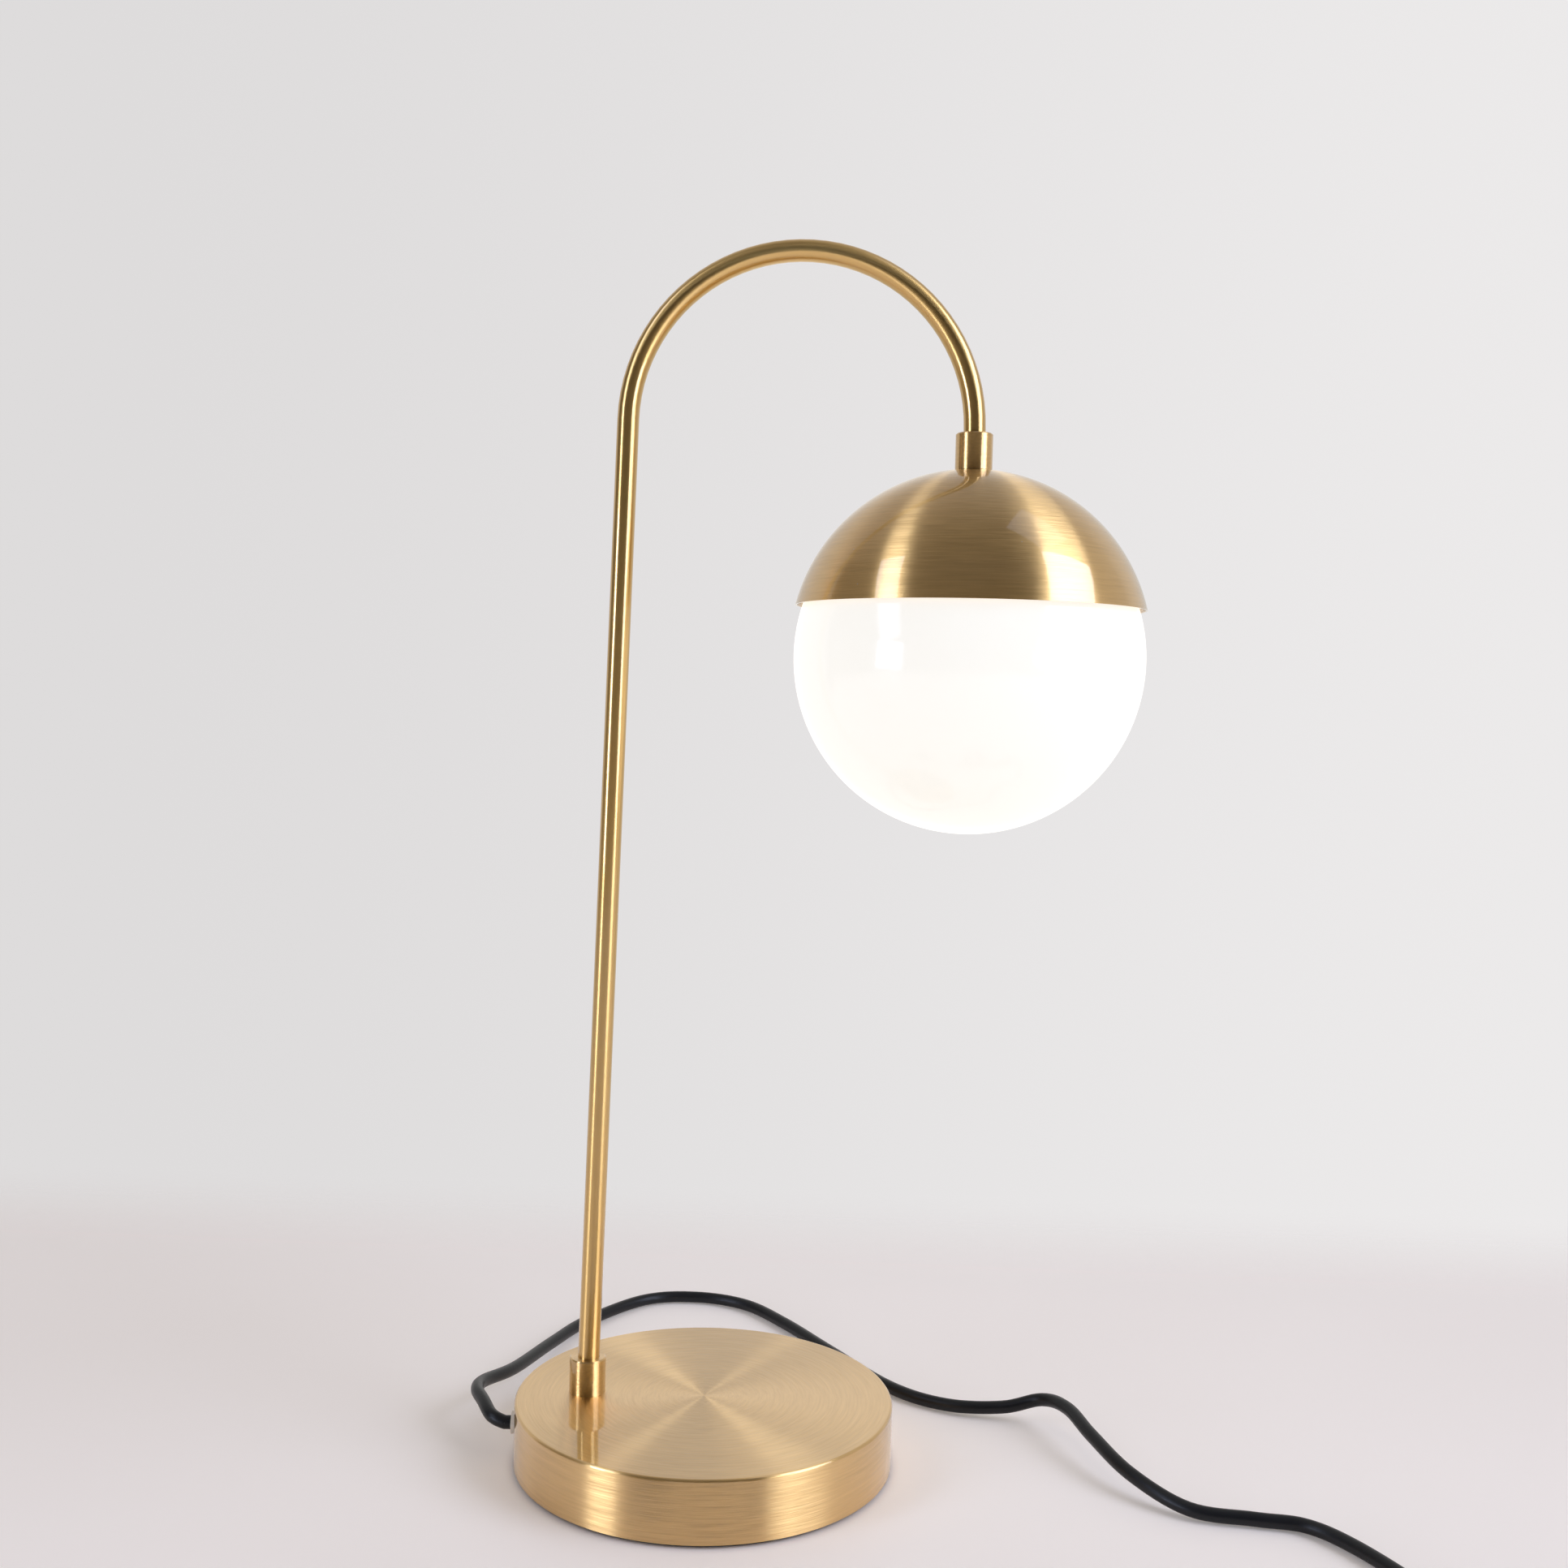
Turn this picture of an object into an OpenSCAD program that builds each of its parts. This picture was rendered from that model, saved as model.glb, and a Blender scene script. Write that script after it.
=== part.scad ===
// A gooseneck table lamp: a brass disc base, a bent tube for a stem, and a dome shade over a glass globe.
// Sizes are in millimetres. +Z is up, +X points from the stem to the head, and the origin lies on the
// table under the middle of the base.

/* [Base] */
// Diameter of the base cover
base_d = 166; // [150:1:200]
// Height of the base's top above the table
base_h = 27.6; // [26:0.1:34]
// Wall of the base cover
base_wall = 1.2; // [0.8:0.1:2]
// Radius of the cover's top edge
base_edge_r = 1.2; // [0.5:0.1:3]
// How far the cover's lower edge stands off the table
base_lift = 1.2; // [0.5:0.1:2]
// Thickness of the pad under the weight
pad_h = 2.4; // [2:0.1:4]
// Thickness of the cast weight
weight_h = 8.4; // [6:0.1:9]
// Distance of the weight's screws from the middle of the base
weight_screw_r = 62; // [55:1:66]
// Width across the flats of the standoffs between weight and cover
stud_af = 8; // [7:0.5:10]
// Diameter of the plate that stiffens the cover under the stem
plate_d = 50; // [36:1:56]
// Thickness of that plate
plate_h = 2; // [1.5:0.1:3]

/* [Stem] */
// Distance of the stem's foot from the middle of the base
stem_offset = 52; // [40:1:56]
// Length of the stem from the base's top to the start of its bend
stem_len = 427; // [300:1:600]
// Lean of the stem towards the head, in degrees
stem_lean = 1.35; // [0:0.05:2]
// Radius of the bend, at the tube's middle
arch_r = 74.4; // [60:0.1:100]
// Outer diameter of the stem tube
tube_d = 9.5; // [9:0.1:11.5]
// Wall of the stem tube
tube_wall = 1; // [0.6:0.1:1.2]
// Straight tube that shows between the bend and the upper collar
tube_show = 2; // [1:0.5:20]
// Diameter of both collars
collar_d = 16; // [15:0.5:20]
// Height of both collars
collar_h = 15.6; // [14:0.1:24]
// How deep the tube and the nipple reach into a collar
socket_depth = 7; // [5:0.5:7]

/* [Shade and globe] */
// Diameter of the glass globe
globe_d = 150; // [120:1:200]
// Wall of the glass
globe_wall = 3; // [2:0.1:4]
// Diameter of the flat shoulder round the globe's neck
shoulder_d = 70; // [60:1:80]
// Outer diameter of the globe's neck
neck_d = 40; // [36:0.5:44]
// Height of the neck above its shoulder
neck_h = 7.5; // [6:0.1:9]
// Wall of the shade
shade_wall = 0.8; // [0.6:0.1:1.2]
// Gap between globe and shade at the shade's rim
rim_gap = 2.4; // [1:0.1:5]
// Gap between the edge of the globe's cap and the shade above it
crown_gap = 0.4; // [0.3:0.1:4]
// Height of the shade's rim above the middle of the globe
rim_up = 21.8; // [10:0.1:40]
// Wall of the cap that holds the globe
cap_wall = 1.2; // [1:0.1:1.3]

/* [Lamp holder and bulb] */
// Diameter of the lamp holder
holder_d = 20; // [18:0.5:24]
// Height of the lamp holder's body
holder_h = 19; // [17:0.5:26]
// Distance between the bulb's two pins
bulb_pin_gap = 9; // [9:0.5:10]
// Diameter of the bulb's cover
bulb_d = 16; // [14:0.5:20]
// Height of the bulb's cover
bulb_h = 40; // [30:1:50]

/* [Cord] */
// Diameter of the cord
cord_d = 6; // [5:0.1:7]
// Direction in which the cord leaves the base, in degrees
exit_turn = 184; // [180:1:190]
// Height of the cord's outlet above the table
exit_z = 14.4; // [14:0.1:17]
// Diameter of the bushing's flange
flange_d = 9.6; // [9:0.1:12]
// Thickness of that flange
flange_h = 1.6; // [1:0.1:3]
// Number of loops in the coil
coil_loops = 4; // [4:4:12]
// Clear space between neighbouring turns of the coil
coil_gap = 0.6; // [0.5:0.1:3]

/* [Switch] */
// Length of the in-line switch
switch_l = 58; // [54:1:80]
// Width of the switch
switch_w = 26; // [25:0.5:36]
// Height of the switch
switch_h = 20; // [19:0.5:26]
// Height at which its halves meet, where the cord runs
switch_split = 9; // [8:0.5:10]
// Wall of the switch
switch_wall = 2; // [1.5:0.1:2.5]
// Tilt of the rocker either way, in degrees
rocker_tilt = 8; // [5:1:9]

/* [Plug] */
// Length of the plug's body
plug_l = 36; // [32:1:44]
// Width of the plug's body
plug_w = 35.3; // [34:0.1:42]
// Thickness of the plug's body
plug_h = 13.7; // [12:0.1:18]
// Distance between the plug's pins
plug_pin_gap = 18.6; // [18.6:0.1:19]
// Diameter of the plug's pins
plug_pin_d = 4; // [3.8:0.1:4.8]
// Length of the plug's pins outside its face
plug_pin_l = 19; // [18:0.5:20]

/* [Fasteners] */
// Outer diameter of the hollow threaded nipples
nipple_d = 10; // [8:0.5:11]
// Bore of those nipples
nipple_bore = 7; // [5:0.5:8]
// Width across the flats of the nipples' nuts
nut_af = 14; // [13:0.5:17]
// Thickness of those nuts
nut_h = 4; // [3:0.5:5]

/* [Hidden] */
$fn = 96;

BRASS = [0.78, 0.62, 0.36];
STEEL = [0.72, 0.73, 0.75];
IRON = [0.25, 0.25, 0.26];
BLACK = [0.06, 0.06, 0.07];
CREAM = [0.90, 0.87, 0.80];
WHITE = [0.95, 0.95, 0.93];
OPAL = [1.00, 0.97, 0.90];
BLUE = [0.20, 0.35, 0.70];
COPPER = [0.72, 0.45, 0.20];

// Clearances and small common sizes
cut = 1;
fit = 0.05;
slip = 0.3;
core_d = 2.2;

// Base
base_r = base_d / 2;
inner_r = base_r - base_wall;
weight_r = inner_r - 2 * slip;
weight_top = pad_h + weight_h;
roof_z = base_h - base_wall;
stud_turns = [0, 120, 240];
weight_screw_d = 4;
weight_head_d = 8;
weight_head_h = 3;
weight_head_sink = 3.6;
weight_screw_grip = 8;
foot = [-stem_offset, 0];
plate_z = roof_z - plate_h;
washer_d = 20;
washer_h = 1.2;
nipple_past = 1.8;
washer_z = plate_z - washer_h;
base_nut_z = washer_z - nut_h;
base_nipple_z = base_nut_z - nipple_past;
small_screw_d = 3;
small_head_d = 5.4;
small_head_h = 2;
small_screw_grip = 6;

// Cord inside the base
cord_r = cord_d / 2;
bushing_neck_d = cord_d + 2.2;
bushing_lip_d = cord_d + 3;
bushing_lip_h = 1.4;
bushing_sink = 0.2;
bushing_reach = base_wall + bushing_sink + bushing_lip_h;
clamp_r = 68;
clamp_l = 7;
clamp_w = 22;
clamp_screw_y = 8;
clamp_roof = 2.5;
clamp_top = exit_z + cord_r + clamp_roof;
jacket_end_r = 60;

// Terminal block
block_x = -20;
block_l = 16;
block_w = 20;
block_h = 10;
pole_y = 5;
pole_z = weight_top + block_h / 2;
sleeve_d = 5;
sleeve_bore = 2.6;
sleeve_l = 14;
pole_screw_x = 4;
pole_screw_d = 2.5;
block_screw_head_z = 4;

// Stem
bend_start = foot_up(stem_len);
bend_middle = bend_start + arch_r * [cos(stem_lean), 0, -sin(stem_lean)];
head_x = bend_middle[0] + arch_r;
bend_end_z = bend_middle[2];
tube_bore = tube_d - 2 * tube_wall;
tube_foot = collar_h - socket_depth;
// The leaning tube meets its bend through a short ring inside the wall
seam = 0.002;
seam_grip = 0.4;
collar_edge = 0.5;
collar_top = bend_end_z - tube_show;
collar_bottom = collar_top - collar_h;
tube_end_z = collar_top - socket_depth;
head_nipple_top = collar_bottom + socket_depth;

// Heights above the middle of the globe: its shoulder, and the top of the cap on its neck
globe_r = globe_d / 2;
neck_r = neck_d / 2;
shoulder_up = sqrt(globe_r * globe_r - shoulder_d * shoulder_d / 4);
seal_h = 1.2;
seal_play = 0.4;
cap_r = neck_r + fit + cap_wall;
cap_up = shoulder_up + neck_h + seal_h + seal_play + cap_wall;

// Shade: a ball that clears the edge of the cap by the crown gap, and the globe by the rim gap
crown_up = cap_up + crown_gap;
rim_inner_r = sqrt(globe_r * globe_r - rim_up * rim_up) + rim_gap;
shade_up = (cap_r * cap_r + crown_up * crown_up - rim_inner_r * rim_inner_r - rim_up * rim_up)
    / (2 * (crown_up - rim_up));
shade_inner_r = norm([rim_inner_r, rim_up - shade_up]);
shade_r = shade_inner_r + shade_wall;
shade_hole_d = nipple_d + 2;
shade_z = collar_bottom - sqrt(shade_r * shade_r - shade_hole_d * shade_hole_d / 4);
globe_z = shade_z - shade_up;
rim_z = globe_z + rim_up;

// Globe, its cap and what hangs in it
globe_inner_r = globe_r - globe_wall;
shoulder_z = globe_z + shoulder_up;
neck_bore_r = neck_r - globe_wall;
neck_top = shoulder_z + neck_h;
seal_w = 2.4;
cap_under = neck_top + seal_h + seal_play;
cap_top = cap_under + cap_wall;
cap_grip = 6;
spacer_d = 20;
spacer_top = shade_z + sqrt(shade_inner_r * shade_inner_r - spacer_d * spacer_d / 4) - fit;
head_nut_z = cap_under - nut_h;
boss_d = nipple_d + 4;
boss_top = head_nut_z - fit;
boss_h = 8.4;
holder_top = boss_top - boss_h;
holder_z = holder_top - holder_h;
boss_grip = 6;
head_nipple_z = boss_top - boss_grip;
wire_room_d = 9.6;
wire_room_h = 5;
slot_w = 3.2;
slot_l = 5;
clip_h = 12;
clip_wall = 0.5;
pin_wire_d = 0.8;
pin_loop_w = 2.6;
pin_h = 6;
pin_wire_sunk = 2;
bulb_top = holder_z - slip;
bulb_base_d = 14;
bulb_base_h = 11;
bulb_base_show = 2;
bulb_cover_wall = 0.9;
strip_w = 8;
strip_wall = 1.2;
strip_h = 26;

// Wires: the lamp's two wires lie side by side, and side is 1 or -1
wire_y = 1.2;
contact_y = bulb_pin_gap / 2;
ARCH_STEPS = 22;
function lamp_wire_low(side) = [
    [-13, 5 * side, pole_z], [-6, 5 * side, 16], [-2.5, 4.6 * side, 19], [-6, 4 * side, 22.2],
    [-14, 3 * side, 23], [-28, 2.4 * side, 22.4], [-38, 2 * side, 18.5], [-44.5, 1.6 * side, 14.5],
    [-49, 1.3 * side, 13], [-51.6, wire_y * side, 15], [-52, wire_y * side, 18.5]
];
function lamp_wire_up(side) = concat(
    [for (s = [4, stem_len]) foot_up(s) + [0, wire_y * side, 0]],
    [for (i = [1:ARCH_STEPS - 1]) arch_point(180 - stem_lean, i / ARCH_STEPS) + [0, wire_y * side, 0]],
    [[head_x, wire_y * side, bend_end_z], [head_x, wire_y * side, holder_top + 2]]
);
function lamp_wire_end(side) = [
    [head_x, wire_y * side, holder_top - 0.5], [head_x, 2.4 * side, holder_top - 2.5],
    [head_x, 3.6 * side, holder_top - wire_room_h + 1.2]
];
// Cores of the supply cord from the end of its jacket to the terminal block
core_y = 1.3;
SUPPLY_LEFT = [[-56, -8.6, 13.6], [-50, -10, 12.6], [-42, -9.5, 12.6], [-33, -6, 14.6], [-28.5, -5, 15.8]];
SUPPLY_RIGHT = [[-59, 3.5, 13.6], [-54, 9.4, 12.6], [-43, 9.5, 12.6], [-33, 6, 14.6], [-28.5, 5, 15.8]];

// Route of the free cord from the bushing to the switch
CORD_ROUTE = [
    [-94, -3, 16], [-100, 8, 17.5], [-106, 22, 17], [-106.5, 38, 14.5], [-98, 67, 9.5], [-88, 113, 5],
    [-76, 149, 3.3], [-50, 185, 3.1], [-22, 193, 3.1], [6, 184, 3.1], [29, 158, 3.1], [54, 121, 3.1],
    [84, 78, 3.1], [110, 59.5, 3.4], [136, 53, 6], [154, 49, 12], [164, 34, 14.5], [172, 10, 12.5],
    [185, -18, 8.5], [206, -38, 3.8], [232, -43, 3.1], [252, -47, 3.1], [267, -63, 3.1],
    [283, -93, 3.1], [292, -121, 3.4], [286, -145, 5.5]
];
cord_stub = 3;
CORD_SIDES = 12;
cord_steps = 2;
switch_at = [227, -155, 0];
switch_in = switch_at + [switch_l / 2, 0, switch_split];
switch_out = switch_at + [-switch_l / 2, 0, switch_split];
coil_mid_d = 10 * cord_d;
coil_pitch = cord_d + coil_gap;
coil_layer = cord_d + coil_gap;
coil_outer_r = coil_mid_d / 2 + coil_loops / 4 * coil_pitch;
coil_at = [130, switch_at[1] - coil_outer_r, cord_r + 0.1];
COIL_RINGS = 24;
COIL_SIDES = 6;
coil_in = coil_at + [cord_d, coil_outer_r, 0];
coil_out = coil_at + [-cord_d, coil_outer_r, coil_layer];
switch_straight = 7;
coil_straight = 10;
LEAD_ROUTE = [[172, -155, 5.6], [150, -155, 3.3]];
TAIL_ROUTE = [[92, -155, 8], [66, -157, 4], [40, -161, 3.1], [14, -159, 4.4]];
plug_at = [-18, -155, 7];

// Switch
switch_corner = 6;
switch_boss_at = [19, 7.5];
switch_boss_d = 6;
switch_screw_d = 2.6;
switch_head_d = 4.6;
switch_head_h = 1.8;
switch_head_sink = 2.4;
grip_l = 8;
rocker_l = 19;
rocker_w = 11;
rocker_z = switch_h - 4;
rocker_pin_d = 3;
rocker_pin_l = 1.4;
rocker_hole_l = rocker_l + 1.8;
rocker_room_w = rocker_w + 2 * slip;
cheek_l = 8;
cheek_wall = 1.8;
cheek_drop = 2.1;
rocker_rise = 5.5;
rocker_dip = 2.8;
rocker_skirt = 1;
rocker_hollow = 1.5;
core_side = 1.7;
core_stop = 12;
contact_side = 4;
blade_x = 8;
blade_l = 8;
blade_w = 5;
blade_wall = 0.8;
blade_lift = 2.6;

// Plug
relief_l = 14;
relief_d = 10;
pin_core_d = 2.6;
pin_sleeve_l = 10;
pin_sunk = 6;
pin_tip = 1;
pin_sleeve_step = 0.4;
relief_lip = 1.6;
plug_edge = 2;
plug_nose = 8;
plug_shoulder_r = 8;

// Geometry helpers
function unit(v) = v / norm(v);
function foot_up(s) = [foot[0] + s * sin(stem_lean), 0, base_h + s * cos(stem_lean)];
function arch_point(from, t) = bend_middle + arch_r * [cos(from * (1 - t)), 0, sin(from * (1 - t))];
function arc(middle, r, from, to, steps) =
    [for (i = [0:steps]) let (turn = from + (to - from) * i / steps) middle + r * [cos(turn), sin(turn)]];
function at_turn(r, turn, z) = [r * cos(turn), r * sin(turn), z];
function along(points) =
    len(points) < 2 ? 0 : [for (i = 0, s = 0; i < len(points); i = i + 1,
        s = s + (i < len(points) ? norm(points[i] - points[i - 1]) : 0)) s][len(points) - 1];

// A smooth line through chosen points, with so many steps between two of them
function spline_point(a, b, c, d, t) =
    ((2 * b) + (c - a) * t + (2 * a - 5 * b + 4 * c - d) * t * t + (3 * b - a - 3 * c + d) * t * t * t) / 2;
function smooth(points, steps) = concat(
    [for (i = [0:len(points) - 2]) for (k = [0:steps - 1])
        spline_point(
            i > 0 ? points[i - 1] : 2 * points[0] - points[1],
            points[i], points[i + 1],
            i < len(points) - 2 ? points[i + 2] : 2 * points[i + 1] - points[i],
            k / steps)],
    [points[len(points) - 1]]
);
// The same line, with its first and last stretches straight, so that its ends are square to what they meet
function smooth_between(points, steps) =
    let (line = smooth(points, steps), last = len(line) - 1)
    concat([line[0]], [for (i = [steps:last - steps]) line[i]], [line[last]]);

// A tube swept along points; no stretch of it may run along ref
module tube(points, d, sides, ref = [0, 0, 1]) {
    last = len(points) - 1;
    rings = [for (i = [0:last])
        let (
            t = unit(points[min(i + 1, last)] - points[max(i - 1, 0)]),
            u = unit(cross(t, ref)),
            v = cross(t, u))
        for (k = [0:sides - 1])
            points[i] + d / 2 * (cos(360 * k / sides) * u + sin(360 * k / sides) * v)];
    walls = [for (i = [0:last - 1]) for (k = [0:sides - 1])
        let (a = i * sides + k, b = i * sides + (k + 1) % sides)
        for (face = [[a, b + sides, b], [a, a + sides, b + sides]]) face];
    ends = [for (k = [1:sides - 2])
        for (face = [[0, k, k + 1], [last * sides, last * sides + k + 1, last * sides + k]]) face];
    polyhedron(points = rings, faces = concat(walls, ends));
}

// The coil's line: loops spiral in on the table, climb a layer, and spiral out again above
function coil_radius(t) = coil_outer_r - coil_pitch * min(t, coil_loops - t);
function coil_climb(t) = min(1, max(0, (t - coil_loops / 2) * 2 + 0.5));
function coil_point(t) =
    coil_at + at_turn(coil_radius(t), 90 + 360 * t, coil_layer * coil_climb(t));
function coil_line() = concat(
    [coil_in],
    [for (i = [0:coil_loops * COIL_RINGS]) coil_point(i / COIL_RINGS)],
    [coil_out]
);

// Places
module at_foot(z) { translate([foot[0], foot[1], z]) children(); }
module along_stem(s) { translate(foot_up(s)) rotate([0, stem_lean, 0]) children(); }
module at_head(z) { translate([head_x, 0, z]) children(); }
module at_exit(out) {
    rotate([0, 0, exit_turn]) translate([base_r + out, 0, exit_z]) rotate([0, 90, 0]) children();
}
module at_clamp(z) { rotate([0, 0, exit_turn]) translate([clamp_r, 0, z]) children(); }
module at_switch() { translate(switch_at) children(); }
module at_plug() { translate(plug_at) children(); }

// Shapes that repeat
module bored(d, bore, h) {
    difference() {
        cylinder(d = d, h = h);
        translate([0, 0, -cut]) cylinder(d = bore, h = h + 2 * cut);
    }
}
module hex_bored(af, bore, h) {
    difference() {
        cylinder(d = af / cos(30), h = h, $fn = 6);
        translate([0, 0, -cut]) cylinder(d = bore, h = h + 2 * cut);
    }
}
module rod_x(d, from, to) { translate([from, 0, 0]) rotate([0, 90, 0]) cylinder(d = d, h = to - from); }
module rounded(l, w, r) {
    square([l - 2 * r, w], center = true);
    square([l, w - 2 * r], center = true);
    for (x = [-1, 1], y = [-1, 1]) translate([x * (l / 2 - r), y * (w / 2 - r)]) circle(r);
}
// A screw with its head on top of z = 0 and its shank below
module screw(d, grip, head_d, head_h) {
    difference() {
        union() {
            cylinder(d = head_d, h = head_h);
            translate([0, 0, -grip]) cylinder(d = d, h = grip + cut / 2);
        }
        translate([0, 0, head_h / 2]) cylinder(d = head_d / 2, h = head_h, $fn = 6);
    }
}
module collar(h) {
    rotate_extrude() polygon([
        [0, 0], [collar_d / 2, 0], [collar_d / 2, h - collar_edge],
        [collar_d / 2 - collar_edge, h], [0, h]
    ]);
}

// Base
module base_shell() {
    color(BRASS) difference() {
        rotate_extrude() polygon(concat(
            [[0, roof_z], [inner_r, roof_z], [inner_r, base_lift], [base_r, base_lift]],
            arc([base_r - base_edge_r, base_h - base_edge_r], base_edge_r, 0, 90, 6),
            [[0, base_h]]
        ));
        at_foot(roof_z - cut) cylinder(d = nipple_d + 2 * fit, h = base_wall + 2 * cut);
        at_exit(-3 * base_wall) cylinder(d = bushing_neck_d + 2 * fit, h = 6 * base_wall);
    }
}
module stem_plate() {
    color(STEEL) at_foot(plate_z) bored(plate_d, nipple_d + 2 * fit, plate_h);
}
module weight_studs() {
    color(STEEL) for (turn = stud_turns) translate(at_turn(weight_screw_r, turn, weight_top)) difference() {
        cylinder(d = stud_af / cos(30), h = roof_z - weight_top, $fn = 6);
        translate([0, 0, -cut]) cylinder(d = weight_screw_d + 2 * fit, h = weight_screw_grip + 2 * cut);
    }
}
module base_weight() {
    color(IRON) difference() {
        translate([0, 0, pad_h]) cylinder(r = weight_r, h = weight_h);
        for (turn = stud_turns) translate(at_turn(weight_screw_r, turn, pad_h - cut)) {
            cylinder(d = weight_screw_d + slip, h = weight_h + 2 * cut);
            cylinder(d = weight_head_d + 2 * slip, h = weight_head_sink + cut);
        }
        for (y = [-1, 1]) at_clamp(weight_top - small_screw_grip) translate([0, y * clamp_screw_y, 0])
            cylinder(d = small_screw_d + 2 * fit, h = small_screw_grip + cut);
        translate([block_x, 0, weight_top - small_screw_grip])
            cylinder(d = small_screw_d + 2 * fit, h = small_screw_grip + cut);
        at_exit(-bushing_reach - slip) cylinder(d = bushing_lip_d + 2 * slip, h = 2 * bushing_reach);
    }
}
module weight_screws() {
    color(STEEL) for (turn = stud_turns)
        translate(at_turn(weight_screw_r, turn, pad_h + weight_head_sink)) mirror([0, 0, 1])
            screw(weight_screw_d, weight_top - pad_h - weight_head_sink + weight_screw_grip,
                weight_head_d, weight_head_h);
}
module base_pad() { color(BLACK) cylinder(r = weight_r, h = pad_h); }
module cord_bushing() {
    color(CREAM) difference() {
        union() {
            at_exit(0) cylinder(d = flange_d, h = flange_h);
            at_exit(-base_wall - bushing_sink - cut / 2)
                cylinder(d = bushing_neck_d, h = base_wall + bushing_sink + cut);
            at_exit(-bushing_reach) cylinder(d = bushing_lip_d, h = bushing_lip_h);
        }
        at_exit(-4 * flange_h) cylinder(d = cord_d + 2 * fit, h = 8 * flange_h);
    }
}
module cord_inner() {
    color(BLACK) at_exit(jacket_end_r - base_r) cylinder(d = cord_d, h = base_r + flange_h - jacket_end_r);
}
module cord_clamp() {
    color(WHITE) difference() {
        at_clamp(weight_top) translate([-clamp_l / 2, -clamp_w / 2, 0])
            cube([clamp_l, clamp_w, clamp_top - weight_top]);
        at_clamp(exit_z) rod_x(cord_d + 2 * fit, -clamp_l, clamp_l);
        for (y = [-1, 1]) at_clamp(weight_top - cut)
            translate([0, y * clamp_screw_y, 0]) cylinder(d = small_screw_d + slip, h = clamp_top);
    }
}
module clamp_screws() {
    color(STEEL) for (y = [-1, 1]) at_clamp(clamp_top) translate([0, y * clamp_screw_y, 0])
        screw(small_screw_d, clamp_top - weight_top + small_screw_grip - 2 * fit, small_head_d, small_head_h);
}
module terminal_block() {
    color(WHITE) difference() {
        translate([block_x - block_l / 2, -block_w / 2, weight_top]) cube([block_l, block_w, block_h]);
        for (y = [-1, 1]) translate([block_x, y * pole_y, pole_z]) {
            rod_x(sleeve_d + 2 * fit, -block_l, block_l);
            for (x = [-1, 1]) translate([x * pole_screw_x, 0, 0])
                cylinder(d = pole_screw_d + slip, h = block_h);
        }
        translate([block_x, 0, weight_top - cut]) cylinder(d = small_screw_d + slip, h = block_h + 2 * cut);
        translate([block_x, 0, weight_top + block_h - block_screw_head_z])
            cylinder(d = small_head_d + slip, h = block_h);
    }
}
module terminal_sleeves() {
    color(BRASS) for (y = [-1, 1]) translate([block_x, y * pole_y, pole_z]) difference() {
        rod_x(sleeve_d, -sleeve_l / 2, sleeve_l / 2);
        rod_x(sleeve_bore, -sleeve_l, sleeve_l);
        for (x = [-1, 1]) translate([x * pole_screw_x, 0, 0])
            cylinder(d = pole_screw_d + 2 * fit, h = sleeve_d);
    }
}
module terminal_screws() {
    color(STEEL) {
        for (y = [-1, 1], x = [-1, 1])
            translate([block_x + x * pole_screw_x, y * pole_y, pole_z + sleeve_bore / 2])
                cylinder(d = pole_screw_d, h = block_h / 2 - sleeve_bore / 2 - slip);
        translate([block_x, 0, weight_top + block_h - block_screw_head_z])
            screw(small_screw_d, block_h - block_screw_head_z + small_screw_grip - 2 * fit,
                small_head_d, small_head_h);
    }
}
module supply_core(side, rest) {
    start = at_turn(jacket_end_r, exit_turn, exit_z);
    across = core_y * side * [-sin(exit_turn), cos(exit_turn), 0];
    inward = -at_turn(1, exit_turn, 0);
    tube(smooth_between(concat([start + across, start + across + 1.5 * inward], rest,
        [[block_x - pole_screw_x - 1, rest[len(rest) - 1][1], pole_z]]), 3), core_d, 6);
}
module supply_cores() {
    color(BLUE) supply_core(1, SUPPLY_LEFT);
    color(COPPER) supply_core(-1, SUPPLY_RIGHT);
}

// Stem
module lower_collar() {
    color(BRASS) difference() {
        at_foot(base_h) collar(collar_h);
        at_foot(base_h - cut) cylinder(d = nipple_d + 2 * fit, h = socket_depth + fit + cut);
        at_foot(base_h) cylinder(d = nipple_bore, h = collar_h);
        along_stem(tube_foot - fit) cylinder(d = tube_d + 2 * fit, h = collar_h);
    }
}
module base_nipple() {
    color(STEEL) at_foot(base_nipple_z) bored(nipple_d, nipple_bore, base_h + socket_depth - base_nipple_z);
}
module base_washer() { color(STEEL) at_foot(washer_z) bored(washer_d, nipple_d + 2 * fit, washer_h); }
module nipple_nuts() {
    color(STEEL) {
        at_foot(base_nut_z) hex_bored(nut_af, nipple_d + 2 * fit, nut_h);
        at_head(head_nut_z) hex_bored(nut_af, nipple_d + 2 * fit, nut_h);
    }
}
module stem_tube() {
    drop = bend_end_z - tube_end_z;
    color(BRASS) translate(bend_middle) {
        difference() {
            stem_bend(tube_d);
            stem_bend(tube_bore);
        }
        translate([arch_r, 0, -drop]) bored(tube_d, tube_bore, drop);
        rotate([0, stem_lean, 0]) {
            translate([-arch_r, 0, tube_foot - stem_len])
                bored(tube_d, tube_bore, stem_len - tube_foot - seam);
            translate([-arch_r, 0, -seam_grip])
                bored(tube_d - tube_wall / 2, tube_bore + tube_wall / 2, 2 * seam_grip);
        }
    }
}
module stem_bend(d) {
    rotate([90, 0, 0]) rotate_extrude(angle = 180 - stem_lean) translate([arch_r, 0]) circle(d = d);
}
module lamp_wires() {
    for (side = [-1, 1]) color(side > 0 ? COPPER : BLUE)
        tube(concat(smooth(lamp_wire_low(side), 2), lamp_wire_up(side), smooth(lamp_wire_end(side), 2)),
            core_d, 6, [0, 1, 0]);
}

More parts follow.
